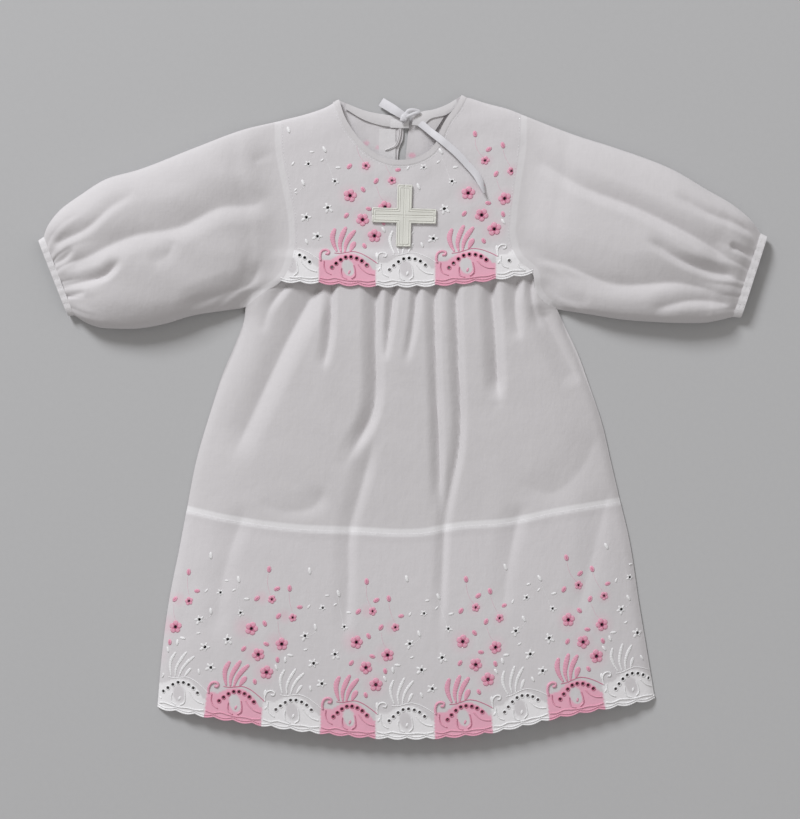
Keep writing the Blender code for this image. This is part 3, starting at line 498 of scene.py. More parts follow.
def distance_to(points, places):
    tree = kdtree.KDTree(len(places))
    for index, (x, y) in enumerate(places):
        tree.insert((x, y, 0), index)
    tree.balance()
    return np.array([tree.find((x, y, 0))[2] for x, y in points])


def cut_cloth(name, outline, eyelets, height, spacing, material, values):
    """A panel cut to its outline, with open eyelets: (x, y, radius) each."""
    low = outline.min(axis=0)
    high = outline.max(axis=0)
    xs = np.arange(low[0], high[0], spacing)
    ys = np.arange(low[1], high[1], spacing * 0.866)
    lattice = np.array([(x + (row % 2) * spacing / 2, y) for row, y in enumerate(ys) for x in xs])
    lattice = lattice[inside(lattice, outline)]
    lattice = lattice[distance_to(lattice, outline) > spacing * 0.62]
    turns = np.linspace(0, 2 * math.pi, 10, endpoint=False)
    circle = np.column_stack((np.cos(turns), np.sin(turns)))
    rings = [np.array((x, y)) + circle * radius for x, y, radius in eyelets]
    if eyelets:
        centres = np.array([(x, y) for x, y, _ in eyelets])
        widest = max(radius for _, _, radius in eyelets)
        lattice = lattice[distance_to(lattice, centres) > widest + spacing * 0.4]
    points = np.concatenate([outline] + rings + [lattice])
    edges = [(index, (index + 1) % len(outline)) for index in range(len(outline))]
    start = len(outline)
    for _ in rings:
        edges += [(start + index, start + (index + 1) % len(circle)) for index in range(len(circle))]
        start += len(circle)
    verts, _, faces, _, _, _ = delaunay_2d_cdt([tuple(point) for point in points], edges, [], 0, 1e-5)
    verts = np.array([tuple(vert) for vert in verts])
    faces = np.array(faces)
    middles = verts[faces].mean(axis=1)
    kept = inside(middles, outline)
    if eyelets:
        for x, y, radius in eyelets:
            kept &= np.hypot(middles[:, 0] - x, middles[:, 1] - y) > radius * 0.9
    faces = faces[kept]
    used = np.unique(faces)
    renumber = np.zeros(len(verts), int)
    renumber[used] = np.arange(len(used))
    verts = verts[used]
    told = {key: rule(verts) for key, rule in values.items()}
    piece = mesh_piece(name, np.column_stack((verts, height(verts))), renumber[faces], material, told)
    return give_wall(piece)


def add_node(tree, kind, inputs=None, **settings):
    """A node with its settings; an input takes a constant, or what another node gives."""
    node = tree.nodes.new(kind)
    for key, value in settings.items():
        setattr(node, key, value)
    for key, value in (inputs or {}).items():
        if isinstance(value, bpy.types.Node):
            value = value.outputs[0]
        if isinstance(value, bpy.types.NodeSocket):
            tree.links.new(value, node.inputs[key])
        else:
            node.inputs[key].default_value = value
    return node


# Stitched work made by Geometry Nodes
def new_tree(name, *sizes):
    """A node tree with a geometry input and a number input for each named size."""
    tree = bpy.data.node_groups.new(name, "GeometryNodeTree")
    asked = [("Geometry", "Geometry")] + [(size, "Float") for size in sizes] + [("Material", "Material")]
    for label, kind in asked:
        tree.interface.new_socket(label, in_out="INPUT", socket_type="NodeSocket" + kind)
    tree.interface.new_socket("Geometry", in_out="OUTPUT", socket_type="NodeSocketGeometry")
    return tree, tree.nodes.new("NodeGroupInput").outputs


def read_attribute(tree, name, kind="FLOAT_VECTOR"):
    node = add_node(tree, "GeometryNodeInputNamedAttribute", {"Name": name}, data_type=kind)
    return node.outputs["Attribute"]


def finish_tree(tree, given, made):
    whole = add_node(tree, "GeometryNodeRealizeInstances", {0: made})
    smooth = add_node(tree, "GeometryNodeSetShadeSmooth", {"Geometry": whole})
    dressed = add_node(tree, "GeometryNodeSetMaterial", {"Geometry": smooth, "Material": given["Material"]})
    add_node(tree, "NodeGroupOutput", {0: dressed})
    return tree


def place_on_points(tree, given, shape, points, along, out, size):
    turn = add_node(tree, "FunctionNodeAxesToRotation", {"Primary Axis": along, "Secondary Axis": out},
                    primary_axis="X", secondary_axis="Z")
    place = add_node(tree, "GeometryNodeInstanceOnPoints",
                     {"Points": points, "Instance": shape, "Rotation": turn, "Scale": size})
    return finish_tree(tree, given, place)


def place_as_drawn(tree, given, shape):
    """The shape on each point of the source, turned and sized by what the point says."""
    along, out, size = (read_attribute(tree, name) for name in ("along", "out", "size"))
    return place_on_points(tree, given, shape, given["Geometry"], along, out, size)


def circle(tree, sides, radius):
    return add_node(tree, "GeometryNodeCurvePrimitiveCircle", {"Resolution": sides, "Radius": radius})


def satin_pads_tree():
    """A domed oval pad of satin stitch on each point."""
    tree, given = new_tree("Satin pads", "Pad")
    ball = add_node(tree, "GeometryNodeMeshUVSphere", {"Segments": 8, "Rings": 5, "Radius": given["Pad"]})
    return place_as_drawn(tree, given, ball)


def eyelet_rims_tree():
    """A corded ring of stitches round each eyelet."""
    tree, given = new_tree("Eyelet rims", "Ring", "Thread")
    line, thread_section = circle(tree, 12, given["Ring"]), circle(tree, 5, given["Thread"])
    ring = add_node(tree, "GeometryNodeCurveToMesh", {"Curve": line, "Profile Curve": thread_section})
    return place_as_drawn(tree, given, ring)


def stitched_cords_tree():
    """A raised cord of stitches along each drawn line, as thick as the line says."""
    tree, given = new_tree("Stitched cords", "Thread")
    drawn = add_node(tree, "GeometryNodeMeshToCurve", {"Mesh": given["Geometry"]})
    cord = add_node(tree, "GeometryNodeCurveToMesh",
                    {"Curve": drawn, "Profile Curve": circle(tree, 6, given["Thread"]), "Fill Caps": True,
                     "Scale": read_attribute(tree, "thick", "FLOAT")})
    return finish_tree(tree, given, cord)


def running_stitches_tree():
    """Small stitches set out along each seam line at an even pitch."""
    tree, given = new_tree("Running stitches", "Pitch", "Length", "Thread")
    drawn = add_node(tree, "GeometryNodeMeshToCurve", {"Mesh": given["Geometry"]})
    step = add_node(tree, "GeometryNodeCurveToPoints", {"Curve": drawn, "Length": given["Pitch"]},
                    mode="LENGTH")
    ball = add_node(tree, "GeometryNodeMeshUVSphere", {"Segments": 5, "Rings": 4, "Radius": 1.0})
    size = add_node(tree, "ShaderNodeCombineXYZ",
                    {"X": given["Length"], "Y": given["Thread"], "Z": given["Thread"]})
    return place_on_points(tree, given, ball, step, step.outputs["Tangent"], (0, 0, 1), size)


def run_tree(tree, name, source, sizes, material):
    """A tree's result on a source mesh, as a plain mesh of its own."""
    carrier = bpy.data.objects.new(name + "_source", source)
    bpy.context.scene.collection.objects.link(carrier)
    modifier = carrier.modifiers.new(tree.name, "NODES")
    modifier.node_group = tree
    given = dict(sizes, Material=material)
    for item in tree.interface.items_tree:
        if item.in_out == "INPUT" and item.name in given:
            modifier[item.identifier] = given[item.name]
    graph = bpy.context.evaluated_depsgraph_get()
    mesh = bpy.data.meshes.new_from_object(carrier.evaluated_get(graph))
    mesh.name = name
    carrier.modifiers.remove(modifier)
    bpy.data.objects.remove(carrier)
    piece = bpy.data.objects.new(name, mesh)
    bpy.context.scene.collection.objects.link(piece)
    return piece


def points_mesh(name, points, vectors):
    mesh = bpy.data.meshes.new(name)
    mesh.from_pydata([tuple(point) for point in points], [], [])
    for key, numbers in vectors.items():
        data = mesh.attributes.new(key, "FLOAT_VECTOR", "POINT").data
        data.foreach_set("vector", np.asarray(numbers, dtype=float).ravel())
    return mesh


def lines_mesh(name, lines, thick=None):
    """Open lines of points in metres, each with its own thickness."""
    points = np.concatenate(lines)
    edges = []
    start = 0
    for line in lines:
        edges += [(start + index, start + index + 1) for index in range(len(line) - 1)]
        start += len(line)
    mesh = bpy.data.meshes.new(name)
    mesh.from_pydata([tuple(point) for point in points], edges, [])
    if thick is not None:
        numbers = np.concatenate([np.full(len(line), value) for value, line in zip(thick, lines)])
        mesh.attributes.new("thick", "FLOAT", "POINT").data.foreach_set("value", numbers.astype(float))
    return mesh


def corded(name, lines, thick, material):
    """Raised cords along drawn lines of points in metres, each as thick as its number says."""
    source = lines_mesh(name + "_lines", lines, thick)
    return run_tree(stitched_cords, name, source, {"Thread": 0.5}, material)


def in_colours(kind, pink, white):
    """Rows of a table: first what is worked in pink, then what is worked in white."""
    return [kind(*row, "pink") for row in pink] + [kind(*row, "white") for row in white]


# Embroidery of one repeat, in millimetres: u along the edge from the start of a pink block, v up from it.
# The first half of the repeat is the pink block, the second the white one.
Flower = namedtuple("Flower", "u v size turn colour")
FLOWERS = in_colours(
    Flower,
    ((21.9, 66, 9.8, 8), (46.2, 58.5, 9.4, 30), (30.7, 48.8, 9.6, 55), (39, 37.3, 10.0, 20),
     (33, 88.5, 6.4, 0), (51, 78, 6.2, 40)),
    ((79, 34.6, 8.5, 30), (71.2, 48.1, 8.8, 38), (6.3, 56, 9.0, 140), (62.2, 66.5, 8.2, 75),
     (11.3, 75.8, 6.0, 160), (72.6, 87.5, 5.6, 20)))

Bud = namedtuple("Bud", "u v turn size colour")
BUDS = in_colours(
    Bud,
    ((26.4, 109, 100, 5.2), (35.4, 96.4, 30, 5.2), (45, 98, 105, 5.2), (55, 86, 10, 4.6),
     (21.4, 87.5, 50, 5.2), (40.2, 77.6, 60, 5.2), (31, 71, 125, 5.0), (35, 57, 165, 4.8),
     (19.3, 51.2, 55, 5.0), (45.1, 47.2, 105, 4.8), (32, 29.6, 115, 4.8)),
    ((58.6, 112, 110, 5.6), (75, 96.4, 5, 3.6), (4, 98.6, 118, 5.6), (2.3, 90.8, 40, 3.4),
     (13.5, 86, 5, 4.4), (61.8, 87.2, 60, 3.6), (69, 73.4, 112, 5.4), (45.2, 41.8, 120, 4.8),
     (53.6, 51.6, 175, 4.8), (50.6, 48, 100, 5.0), (71.4, 30.4, 112, 4.6), (40.8, 22.6, 95, 5.6),
     (42.2, 12.6, 60, 3.6), (64, 57, 20, 3.4)))

# Thin stems: points of a line, and its thickness
Stem = namedtuple("Stem", "points thick colour")
STEMS = in_colours(
    Stem,
    ((((26.4, 106), (27, 100), (29.6, 94), (32, 91)), 0.16), (((45, 95), (47, 88), (50, 82)), 0.14),
     (((40.4, 74), (43, 66), (45.4, 62.6)), 0.14)),
    ((((70.4, 71), (67, 68), (64.4, 67)), 0.2), (((4, 96), (6.6, 88), (10, 78)), 0.2)))

# The border below the flowers, drawn once and worked in each block in its own colour
ARCH = ((9.3, 12.4), (12.2, 15.4), (15.4, 18.3), (18.9, 20.4), (22.6, 20.9), (26.6, 20.1), (30.2, 18.4),
        (33.6, 15.4))
ARCH_LINE = ((11.0, 23.0), (14.6, 23.0), (19.8, 24.2), (24, 25.0), (29, 24.0), (34, 21.6), (38.4, 18.8),
             (41.0, 16.8))
PLUME = (
    ((12.6, 24.4), (10.4, 29.6), (9.5, 35.0), (11.2, 40.6)),
    ((15.6, 24.4), (14.8, 30), (16.2, 36), (18.9, 42.2)),
    ((18.2, 24.4), (19.0, 30), (21.6, 35.6), (25.2, 40.2)),
    ((22.2, 25.6), (23.0, 27.4), (23.8, 29.4), (25.0, 31.4)),
)
SCROLLS = (
    ((1.3, 17.0), (1.0, 20.6), (2.2, 24.0), (5.0, 25.0), (7.2, 23.8), (6.6, 22.0), (4.8, 22.2)),
    ((3.4, 16.8), (3.4, 12.4), (5.0, 9.2), (8.4, 7.2)),
    ((15.6, 12.6), (15.4, 9.4), (16.4, 6.2), (19.4, 4.6)),
    ((24.4, 15.0), (25.2, 10.6), (25.0, 7.0), (22.6, 5.0)),
    ((27.6, 15.6), (30.6, 12.0), (34.2, 9.6), (38.6, 8.6)),
)
BAND = ((0.8, 4.2), (6, 3.4), (11, 4.6), (16, 3.9), (22, 3.4), (28, 3.8), (34, 3.4), (39.2, 4.2))
BORDER_LEAF = (21.4, 9.6, 70, 3.4, 1.8)
# Width of a plume's blade along its length, as a share of the widest
BLADE_SHARES = (0.45, 0.6, 0.72, 0.82, 0.9, 0.96, 1, 1, 0.92, 0.7)
# The two cords along the scallops, up from their edge
EDGE_CORD = 0.35
EDGE_RIDGE = 1.9
# Cloth left plain in a block's solid work: its middle, half its width and height, and its lean
PLAIN_SPOT = (20.6, 12.8)
PLAIN_SPOT_SIZE = (3.9, 5.4)
PLAIN_SPOT_LEAN = 0.15
# Upper line of a block's solid work, from its left end to its right: (u, v)
SOLID_TOP = ((0, 17.6), (8, 17.6), (11, 19.6), (15, 22.2), (20, 23.4), (25, 23.4), (29, 21.6), (33, 18.4),
             (36.4, 14.4), (38, 12.4), (40, 12.2))


def spin(points, turn):
    c, s = math.cos(turn), math.sin(turn)
    points = np.asarray(points, dtype=float)
    return np.column_stack((points[:, 0] * c - points[:, 1] * s, points[:, 0] * s + points[:, 1] * c))


def smooth_line(points, steps):
    return sampled(Path(*points), steps)


def runs_of(chosen, least):
    """Runs of chosen neighbours, each longer than the least, as their indices."""
    runs = np.split(np.arange(len(chosen)), np.flatnonzero(np.diff(chosen.astype(int))) + 1)
    return [run for run in runs if chosen[run[0]] and len(run) > least]


# Petals of a white flower: where each points, in degrees, and its size
WHITE_PETALS = ((180, 1.0), (258, 0.62), (330, 0.8), (45, 0.7), (115, 0.9))
# A pink flower's petal and the fold beside it, whose shade is painted as a deep pink pad: distance, length
# and width as shares of its size
PINK_PETALS = ((0.31, 0.40, 0.47, "pink"), (0.235, 0.26, 0.26, "deep"))
# How far stitches and eyelets stay from a panel's edge, and how flat they lie under a back panel
PAD_MARGIN, RIM_MARGIN, CORD_MARGIN, EYELET_MARGIN = 1.0, 1.2, 0.6, 1.6
PADS_PRESSED, RIMS_PRESSED, CORDS_PRESSED = 0.35, 0.4, 0.45


class Needlework:
    """All that is stitched on one panel, by colour, before it is laid on the cloth."""

    def __init__(self):
        self.pads = {colour: [] for colour in thread}
        self.rims = {colour: [] for colour in thread}
        self.cords = {colour: [] for colour in thread}
        self.eyelets = []

    def flower(self, u, v, size, turn, colour):
        """Pink: broad petals that run together round an eyelet. White: small uneven petals round one."""
        if colour == "white":
            eye = 0.52 + 0.075 * size
            self.rims["white"].append((u, v, eye + 0.35))
            self.eyelets.append((u, v, eye))
            for lean, share in WHITE_PETALS:
                angle = math.radians(lean + turn)
                reach = eye + size * 0.16 * share
                place = (u + reach * math.cos(angle), v + reach * math.sin(angle))
                self.pads[colour].append((*place, angle, size * 0.44 * share, size * 0.25 * share, 0.6))
            return
        # Every other pad is a small deep pink one between the petals: painted shade in the folds there
        for number in range(10):
            angle = math.radians(turn + 36 * number)
            reach, length, width, shade = PINK_PETALS[number % 2]
            place = (u + size * reach * math.cos(angle), v + size * reach * math.sin(angle))
            self.pads[shade].append((*place, angle, size * length, size * width, 0.6))
        eye = min(1.0, size * 0.115)
        self.rims["rose"].append((u, v, eye + 0.3))
        self.eyelets.append((u, v, eye + 0.05))

    def bud(self, u, v, turn, size, colour):
        """A small satin bud: one full petal, in pink with the shade of a fold down its middle painted as a
        deep pink pad.
        """
        angle = math.radians(turn)
        if colour == "white":
            self.pads[colour].append((u, v, angle, size, size * 0.42, 0.8))
            return
        self.pads[colour].append((u, v, angle, size, size * 0.66, 0.6))
        # Deep pink pad down the middle: painted fold shade
        self.pads["deep"].append((u, v, angle, size * 0.8, size * 0.24, 0.75))

    def line(self, points, thick, colour, steps):
        self.cords[colour].append((smooth_line(points, steps), thick))

    def border(self, start, colour):
        """One block's border: edge, scrolls, arch of eyelets and plume."""
        pink = colour == "pink"
        wide = 1.0 if pink else 0.62

        def shift(points):
            return [(u + start, v) for u, v in points]

        for u, v in shift(ARCH):
            self.eyelets.append((u, v, EYELET))
            self.rims["deep" if pink else "white"].append((u, v, EYELET + 0.3))
        self.line(shift(ARCH_LINE), 0.6, "deep" if pink else colour, 30)
        breadth = 4.1 * wide
        for blade in PLUME:
            line = smooth_line(shift(blade), len(BLADE_SHARES) + 1)
            for (u, v), (du, dv), share in zip(line[:-1], np.diff(line, axis=0), BLADE_SHARES):
                length = max(math.hypot(du, dv) * 2.0, breadth * share)
                self.pads[colour].append((u + du / 2, v + dv / 2, math.atan2(dv, du), length,
                                          breadth * share, 0.7))
        self.line(shift(BAND), 1.1, colour, 40)
        self.line(shift(SCROLLS[0]), 1.9 * wide, colour, 28)
        for scroll in SCROLLS[1:]:
            self.line(shift(scroll), 1.0, colour, 28)
            if pink:
                self.line(shift(scroll) + np.array((0.7, -0.5)), 0.5, "deep", 28)
        u, v, turn, length, width = BORDER_LEAF
        self.pads[colour].append((u + start, v, math.radians(turn), length, width, 0.7))

    def repeat(self, start, height):
        for flower in FLOWERS:
            if flower.v < height:
                self.flower(flower.u + start, flower.v, flower.size, flower.turn, flower.colour)
        for bud in BUDS:
            if bud.v < height:
                self.bud(bud.u + start, bud.v, bud.turn, bud.size, bud.colour)
        for stem in STEMS:
            if stem.points[-1][1] < height:
                self.line([(u + start, v) for u, v in stem.points], stem.thick, stem.colour, 24)
        self.border(start, "pink")
        self.border(start + BLOCK, "white")


def work_panel(name, lay, allowed, height, repeats, top, flip=False):
    """Lays a panel's embroidery on it; gives the eyelets to cut and the pieces stitched on it."""
    work = Needlework()
    for repeat in repeats:
        work.repeat(repeat * REPEAT, top)

    def surface(points, lift):
        heights = height(points) + (-lift if flip else lift)
        return np.column_stack((points, heights))

    def frame_at(points, angles):
        step = 0.6
        ahead = points + step * np.column_stack((np.cos(angles), np.sin(angles)))
        beside_it = points + step * np.column_stack((-np.sin(angles), np.cos(angles)))
        here = surface(points, 0)
        along = surface(ahead, 0) - here
        side = surface(beside_it, 0) - here
        out = np.cross(along, side)
        along /= np.linalg.norm(along, axis=1)[:, None]
        out /= np.linalg.norm(out, axis=1)[:, None]
        return along, out

    def mesh_on(start, angles, size):
        along, out = frame_at(start, angles)
        told = {"along": along, "out": out, "size": size * MM}
        return points_mesh(name, surface(start, WALL / 2) * MM, told)

    made = []
    for colour in thread:
        if work.pads[colour]:
            rows = np.array(work.pads[colour])
            start = lay(rows[:, :2])
            tip = lay(rows[:, :2] + 0.5 * np.column_stack((np.cos(rows[:, 2]), np.sin(rows[:, 2]))))
            ok = allowed(start, PAD_MARGIN)
            start, tip, rows = start[ok], tip[ok], rows[ok]
            angles = np.arctan2(tip[:, 1] - start[:, 1], tip[:, 0] - start[:, 0])
            size = rows[:, 3:6] / 2
            size[:, 2] *= PADS_PRESSED if flip else 1
            mesh = mesh_on(start, angles, size)
            made.append(run_tree(satin_pads, f"{name}_{colour}_satin", mesh, {"Pad": 1.0}, thread[colour]))
        if work.rims[colour]:
            rows = np.array(work.rims[colour])
            start = lay(rows[:, :2])
            ok = allowed(start, RIM_MARGIN)
            start, rows = start[ok], rows[ok]
            size = np.repeat(rows[:, 2:3], 3, axis=1)
            size[:, 2] *= RIMS_PRESSED if flip else 1
            mesh = mesh_on(start, np.zeros(len(start)), size)
            made.append(run_tree(eyelet_rims, f"{name}_{colour}_rims", mesh, {"Ring": 1.0, "Thread": 0.25},
                                 thread[colour]))
        lines, thick = [], []
        for line, thickness in work.cords[colour]:
            laid = lay(line)
            for run in runs_of(allowed(laid, CORD_MARGIN), 2):
                lines.append(surface(laid[run], WALL / 2) * MM)
                thick.append(thickness * (CORDS_PRESSED if flip else 1) * MM)
        if lines:
            made.append(corded(f"{name}_{colour}_cord", lines, thick, thread[colour]))
    rows = np.array(work.eyelets)
    laid = lay(rows[:, :2])
    ok = allowed(laid, EYELET_MARGIN)
    return [(x, y, radius) for (x, y), radius in zip(laid[ok], rows[ok, 2])], made


# Finishes
def new_finish(name, colour, roughness, sheen=0.0):
    material = bpy.data.materials.new(name)
    material.use_nodes = True
    shader = material.node_tree.nodes["Principled BSDF"]
    shader.inputs["Base Color"].default_value = (*colour, 1)
    shader.inputs["Roughness"].default_value = roughness
    shader.inputs["Sheen Weight"].default_value = sheen
    shader.inputs["Specular IOR Level"].default_value = 0.3
    return material, material.node_tree, shader


def toned(colour, share):
    return tuple(min(1.0, share * part) for part in colour)


def coordinates(tree, scale, turn=0.0):
    place = add_node(tree, "ShaderNodeTexCoord").outputs["Object"]
    return add_node(tree, "ShaderNodeMapping", {"Vector": place, "Scale": scale, "Rotation": (0, 0, turn)})


def noise(tree, vector, scale, detail=3.0, rough=0.5):
    told = {"Vector": vector, "Scale": scale, "Detail": detail, "Roughness": rough}
    return add_node(tree, "ShaderNodeTexNoise", told).outputs["Fac"]


def math_node(tree, kind, first, second):
    return add_node(tree, "ShaderNodeMath", {0: first, 1: second}, operation=kind)


def blend_colour(tree, share, first, second):
    """Two colours mixed by a share; each is a constant, or what another node gives."""
    node = add_node(tree, "ShaderNodeMix", {"Factor": share}, data_type="RGBA")
    for socket, value in zip([item for item in node.inputs if item.type == "RGBA"], (first, second)):
        if isinstance(value, tuple):
            socket.default_value = (*value, 1)
        else:
            tree.links.new(value, socket)
    return [item for item in node.outputs if item.type == "RGBA"][0]


def relief(tree, shader, height, strength, distance):
    bump = add_node(tree, "ShaderNodeBump", {"Strength": strength, "Distance": distance, "Height": height})
    tree.links.new(bump.outputs["Normal"], shader.inputs["Normal"])


def batiste_finish(name, single, doubled, pink=None):
    """Sheer plain weave: paler where it lies double, pink where it is worked solid with thread."""
    material, tree, shader = new_finish(name, single, 0.86, 0.25)
    slubs_across = noise(tree, coordinates(tree, (60, 900, 300)), 1.0, 2.0)
    slubs_along = noise(tree, coordinates(tree, (900, 60, 300)), 1.0, 2.0)
    slubs = math_node(tree, "MULTIPLY", math_node(tree, "ADD", slubs_across, slubs_along), 0.5)
    colour = blend_colour(tree, slubs, toned(single, 0.93), single)
    worked = [("doubled", doubled)]
    if pink:
        worked += [("solid_pink", pink), ("solid_white", WHITE_THREAD)]
    for attribute, tone in worked:
        share = add_node(tree, "ShaderNodeAttribute", attribute_name=attribute).outputs["Fac"]
        colour = blend_colour(tree, share, colour, tone)
    tree.links.new(colour, shader.inputs["Base Color"])
    warp = noise(tree, coordinates(tree, (2600, 240, 300)), 1.0, 1.0)
    weft = noise(tree, coordinates(tree, (240, 2600, 300)), 1.0, 1.0)
    weave = math_node(tree, "MULTIPLY", math_node(tree, "ADD", warp, weft), 0.10)
    crumple = noise(tree, coordinates(tree, (1, 0.55, 1)), 170, 4.0, 0.6)
    relief(tree, shader, math_node(tree, "ADD", weave, crumple), 0.4, 0.0009)
    return material


def thread_finish(name, colour, roughness):
    """Mercerised thread, worked in close parallel stitches; its colour is streaked lighter and darker,
    partly uneven thread and partly painted sheen.
    """
    material, tree, shader = new_finish(name, colour, roughness, 0.2)
    told = {"Vector": coordinates(tree, (1, 1, 1), 0.7), "Scale": 420, "Distortion": 0.6,
            "Detail Scale": 0.4}
    strands = add_node(tree, "ShaderNodeTexWave", told, wave_type="BANDS", bands_direction="X")
    # Lighter and darker streaks in the colour: uneven thread tone together with painted sheen
    sheen_streaks = noise(tree, coordinates(tree, (300, 900, 500), 0.7), 1.0, 2.0)
    sheen_streaked = blend_colour(tree, sheen_streaks, toned(colour, 0.80), toned(colour, 1.08))
    tree.links.new(sheen_streaked, shader.inputs["Base Color"])
    relief(tree, shader, strands.outputs["Fac"], 0.4, 0.0003)
    return material


def satin_finish(name, colour, turn):
    material, tree, shader = new_finish(name, colour, 0.36, 0.35)
    strands = noise(tree, coordinates(tree, (2500, 90, 400), turn), 1.0, 2.0)
    shaded = blend_colour(tree, strands, toned(colour, 0.92), colour)
    tree.links.new(shaded, shader.inputs["Base Color"])
    rough = add_node(tree, "ShaderNodeMapRange", {"To Min": 0.45, "To Max": 0.62, "Value": strands})
    tree.links.new(rough.outputs["Result"], shader.inputs["Roughness"])
    relief(tree, shader, strands, 0.25, 0.0003)
    return material


PINK = (0.82, 0.40, 0.52)
WHITE_THREAD = (0.90, 0.89, 0.90)
batiste = batiste_finish("white batiste", (0.645, 0.622, 0.632), (0.775, 0.76, 0.772))
embroidered = batiste_finish("embroidered batiste", (0.675, 0.65, 0.664), (0.79, 0.775, 0.79), PINK)
thread = {
    "pink": thread_finish("pink embroidery thread", PINK, 0.5),
    "white": thread_finish("white embroidery thread", WHITE_THREAD, 0.45),
    # Deep pink: thread colour, and also painted shade in the folds of pink flowers and buds
    "deep": thread_finish("deep pink thread and painted fold shade", (0.68, 0.22, 0.34), 0.5),
    "rose": thread_finish("rose thread", (0.36, 0.085, 0.17), 0.6),
}
sewing = thread_finish("white sewing thread", (0.84, 0.835, 0.85), 0.6)
cross_satin = satin_finish("cream satin", (0.76, 0.755, 0.70), 0.0)
ribbon_satin = satin_finish("white ribbon satin", (0.70, 0.69, 0.72), 0.8)

satin_pads = satin_pads_tree()
eyelet_rims = eyelet_rims_tree()
stitched_cords = stitched_cords_tree()
running_stitches = running_stitches_tree()


def dress(piece, slot, *nodes):
    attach(piece, "root")
    if nodes:
        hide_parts(*nodes)
    return piece


# Lines of machine stitching, points in metres, gathered here and sewn at the end
seam_lines = []


def on_cloth(points, heights):
    """Points in metres from a plan and its heights."""
    return np.column_stack((points, heights)) * MM


def sew(curve, height, offset, steps, start, end):
    share = np.linspace(start, end, steps)
    plan = curve(share) + curve.normal(share) * offset
    seam_lines.append(on_cloth(plan, height(plan) + WALL / 2))


def constant(value):
    return lambda points: np.full(len(points), value)


def near_curve(curve, low, high):
    """1 where a point lies between two distances from a curve, fading over half a millimetre."""
    line = sampled(curve, 500)

    def rule(points):
        away = distance_to(points, line)
        return np.clip((away - low) / 0.4 + 0.5, 0, 1) * np.clip((high - away) / 0.4 + 0.5, 0, 1)

    return rule


# Skirt
def skirt_plan(tops, left_share, right_share, arm_left, arm_right):
    """The panel from the hem seam to its top; its sides run up the side seams, then along the armholes."""
    left = chain((reverse(side_left), 0.75), (part_of(arm_left, 0, left_share), 1))
    right = chain((reverse(side_right), 0.75), (part_of(arm_right, 0, right_share), 1))
    return patch(hem_seam, tops, left, right)


def make_skirts():
    tops = Path(SKIRT_TOP_LEFT, (-40, 106.5), (0, 106), (40, 107.5), SKIRT_TOP_RIGHT)
    plan = skirt_plan(tops, armhole_left.share_of(SKIRT_TOP_LEFT), armhole_right.share_of(SKIRT_TOP_RIGHT),
                      armhole_left, armhole_right)
    front = grid_cloth("front_skirt_cloth", plan, skirt_height, 200, 124, batiste,
                       {"doubled": near_curve(hem_seam, -1, 3.9)}, side_stops=(0.0008, 0.0025))
    dress(front, "batiste", "front_skirt")

    tops = Path(back_armhole_left(BACK_YOKE_SHARE)[0], back_armhole_right(BACK_YOKE_SHARE)[0])
    plan = skirt_plan(tops, BACK_YOKE_SHARE, BACK_YOKE_SHARE, back_armhole_left, back_armhole_right)
    back = grid_cloth("back_skirt_cloth", plan, back_height, 90, 60, batiste,
                      {"doubled": near_curve(hem_seam, -1, 3.2)})
    dress(back, "batiste", "back_skirt")


# Embroidered pieces
HEM_BLOCKS = (-172.5, -139.2, -99.0, -58.0, -19.0, 22.4, 63.1, 102.4, 141.8, 177.5)
YOKE_BLOCKS = (-85.9, -58.7, -18.8, 22.5, 65.2, 91.1)


# Carries what lies past the last block off the cloth
OFF_CLOTH = 1000


def block_places(blocks):
    """Where along an edge the pattern's blocks start: x of each, and its place in the pattern."""
    places = BLOCK * (np.arange(len(blocks)) - 1.0)
    xs = np.array(blocks)
    places[0] = places[1] - (xs[1] - xs[0])
    places[-1] = places[-2] + (xs[-1] - xs[-2])
    return xs, places


hem_edge = scalloped(hem_line, HEM_SCALLOPS)
hem_xs, hem_us = block_places(HEM_BLOCKS)
hem_fine = sampled(hem_line, 800)
seam_fine = sampled(hem_seam, 800)


def lay_on_hem(pattern):
    """A place of the pattern in the plan of the hem band, which narrows and leans a little to its seam."""
    leaning = np.interp(pattern[:, 0], (0, 210), (0.135, 0.0)) * np.clip(pattern[:, 1] - 20, 0, None)
    u = pattern[:, 0] + leaning
    x = np.interp(u, hem_us, hem_xs)
    share = np.interp(x, hem_fine[:, 0], np.linspace(0, 1, len(hem_fine)))
    foot = hem_line(share)
    up = hem_seam(share) - foot
    laid = foot + up * (pattern[:, 1] / np.linalg.norm(up, axis=1))[:, None]
    laid[(u < hem_us[0]) | (u > hem_us[-1])] += OFF_CLOTH
    return laid


def hem_pattern(plan):
    """The place in the pattern of each point of the band."""
    width = HEM_END_RIGHT[0] - HEM_END_LEFT[0]
    share = np.clip((plan[:, 0] - HEM_END_LEFT[0]) / width, 0, 1)
    for _ in range(6):
        foot = hem_line(share)
        up = hem_seam(share) - foot
        along = np.clip(np.sum((plan - foot) * up, axis=1) / np.sum(up**2, axis=1), 0, 1)
        guess = foot + up * along[:, None]
        share = np.clip(share + (plan[:, 0] - guess[:, 0]) / 340, 0, 1)
    foot = hem_line(share)
    length = np.linalg.norm(hem_seam(share) - foot, axis=1)
    return np.interp(foot[:, 0], hem_xs, hem_us), along * length


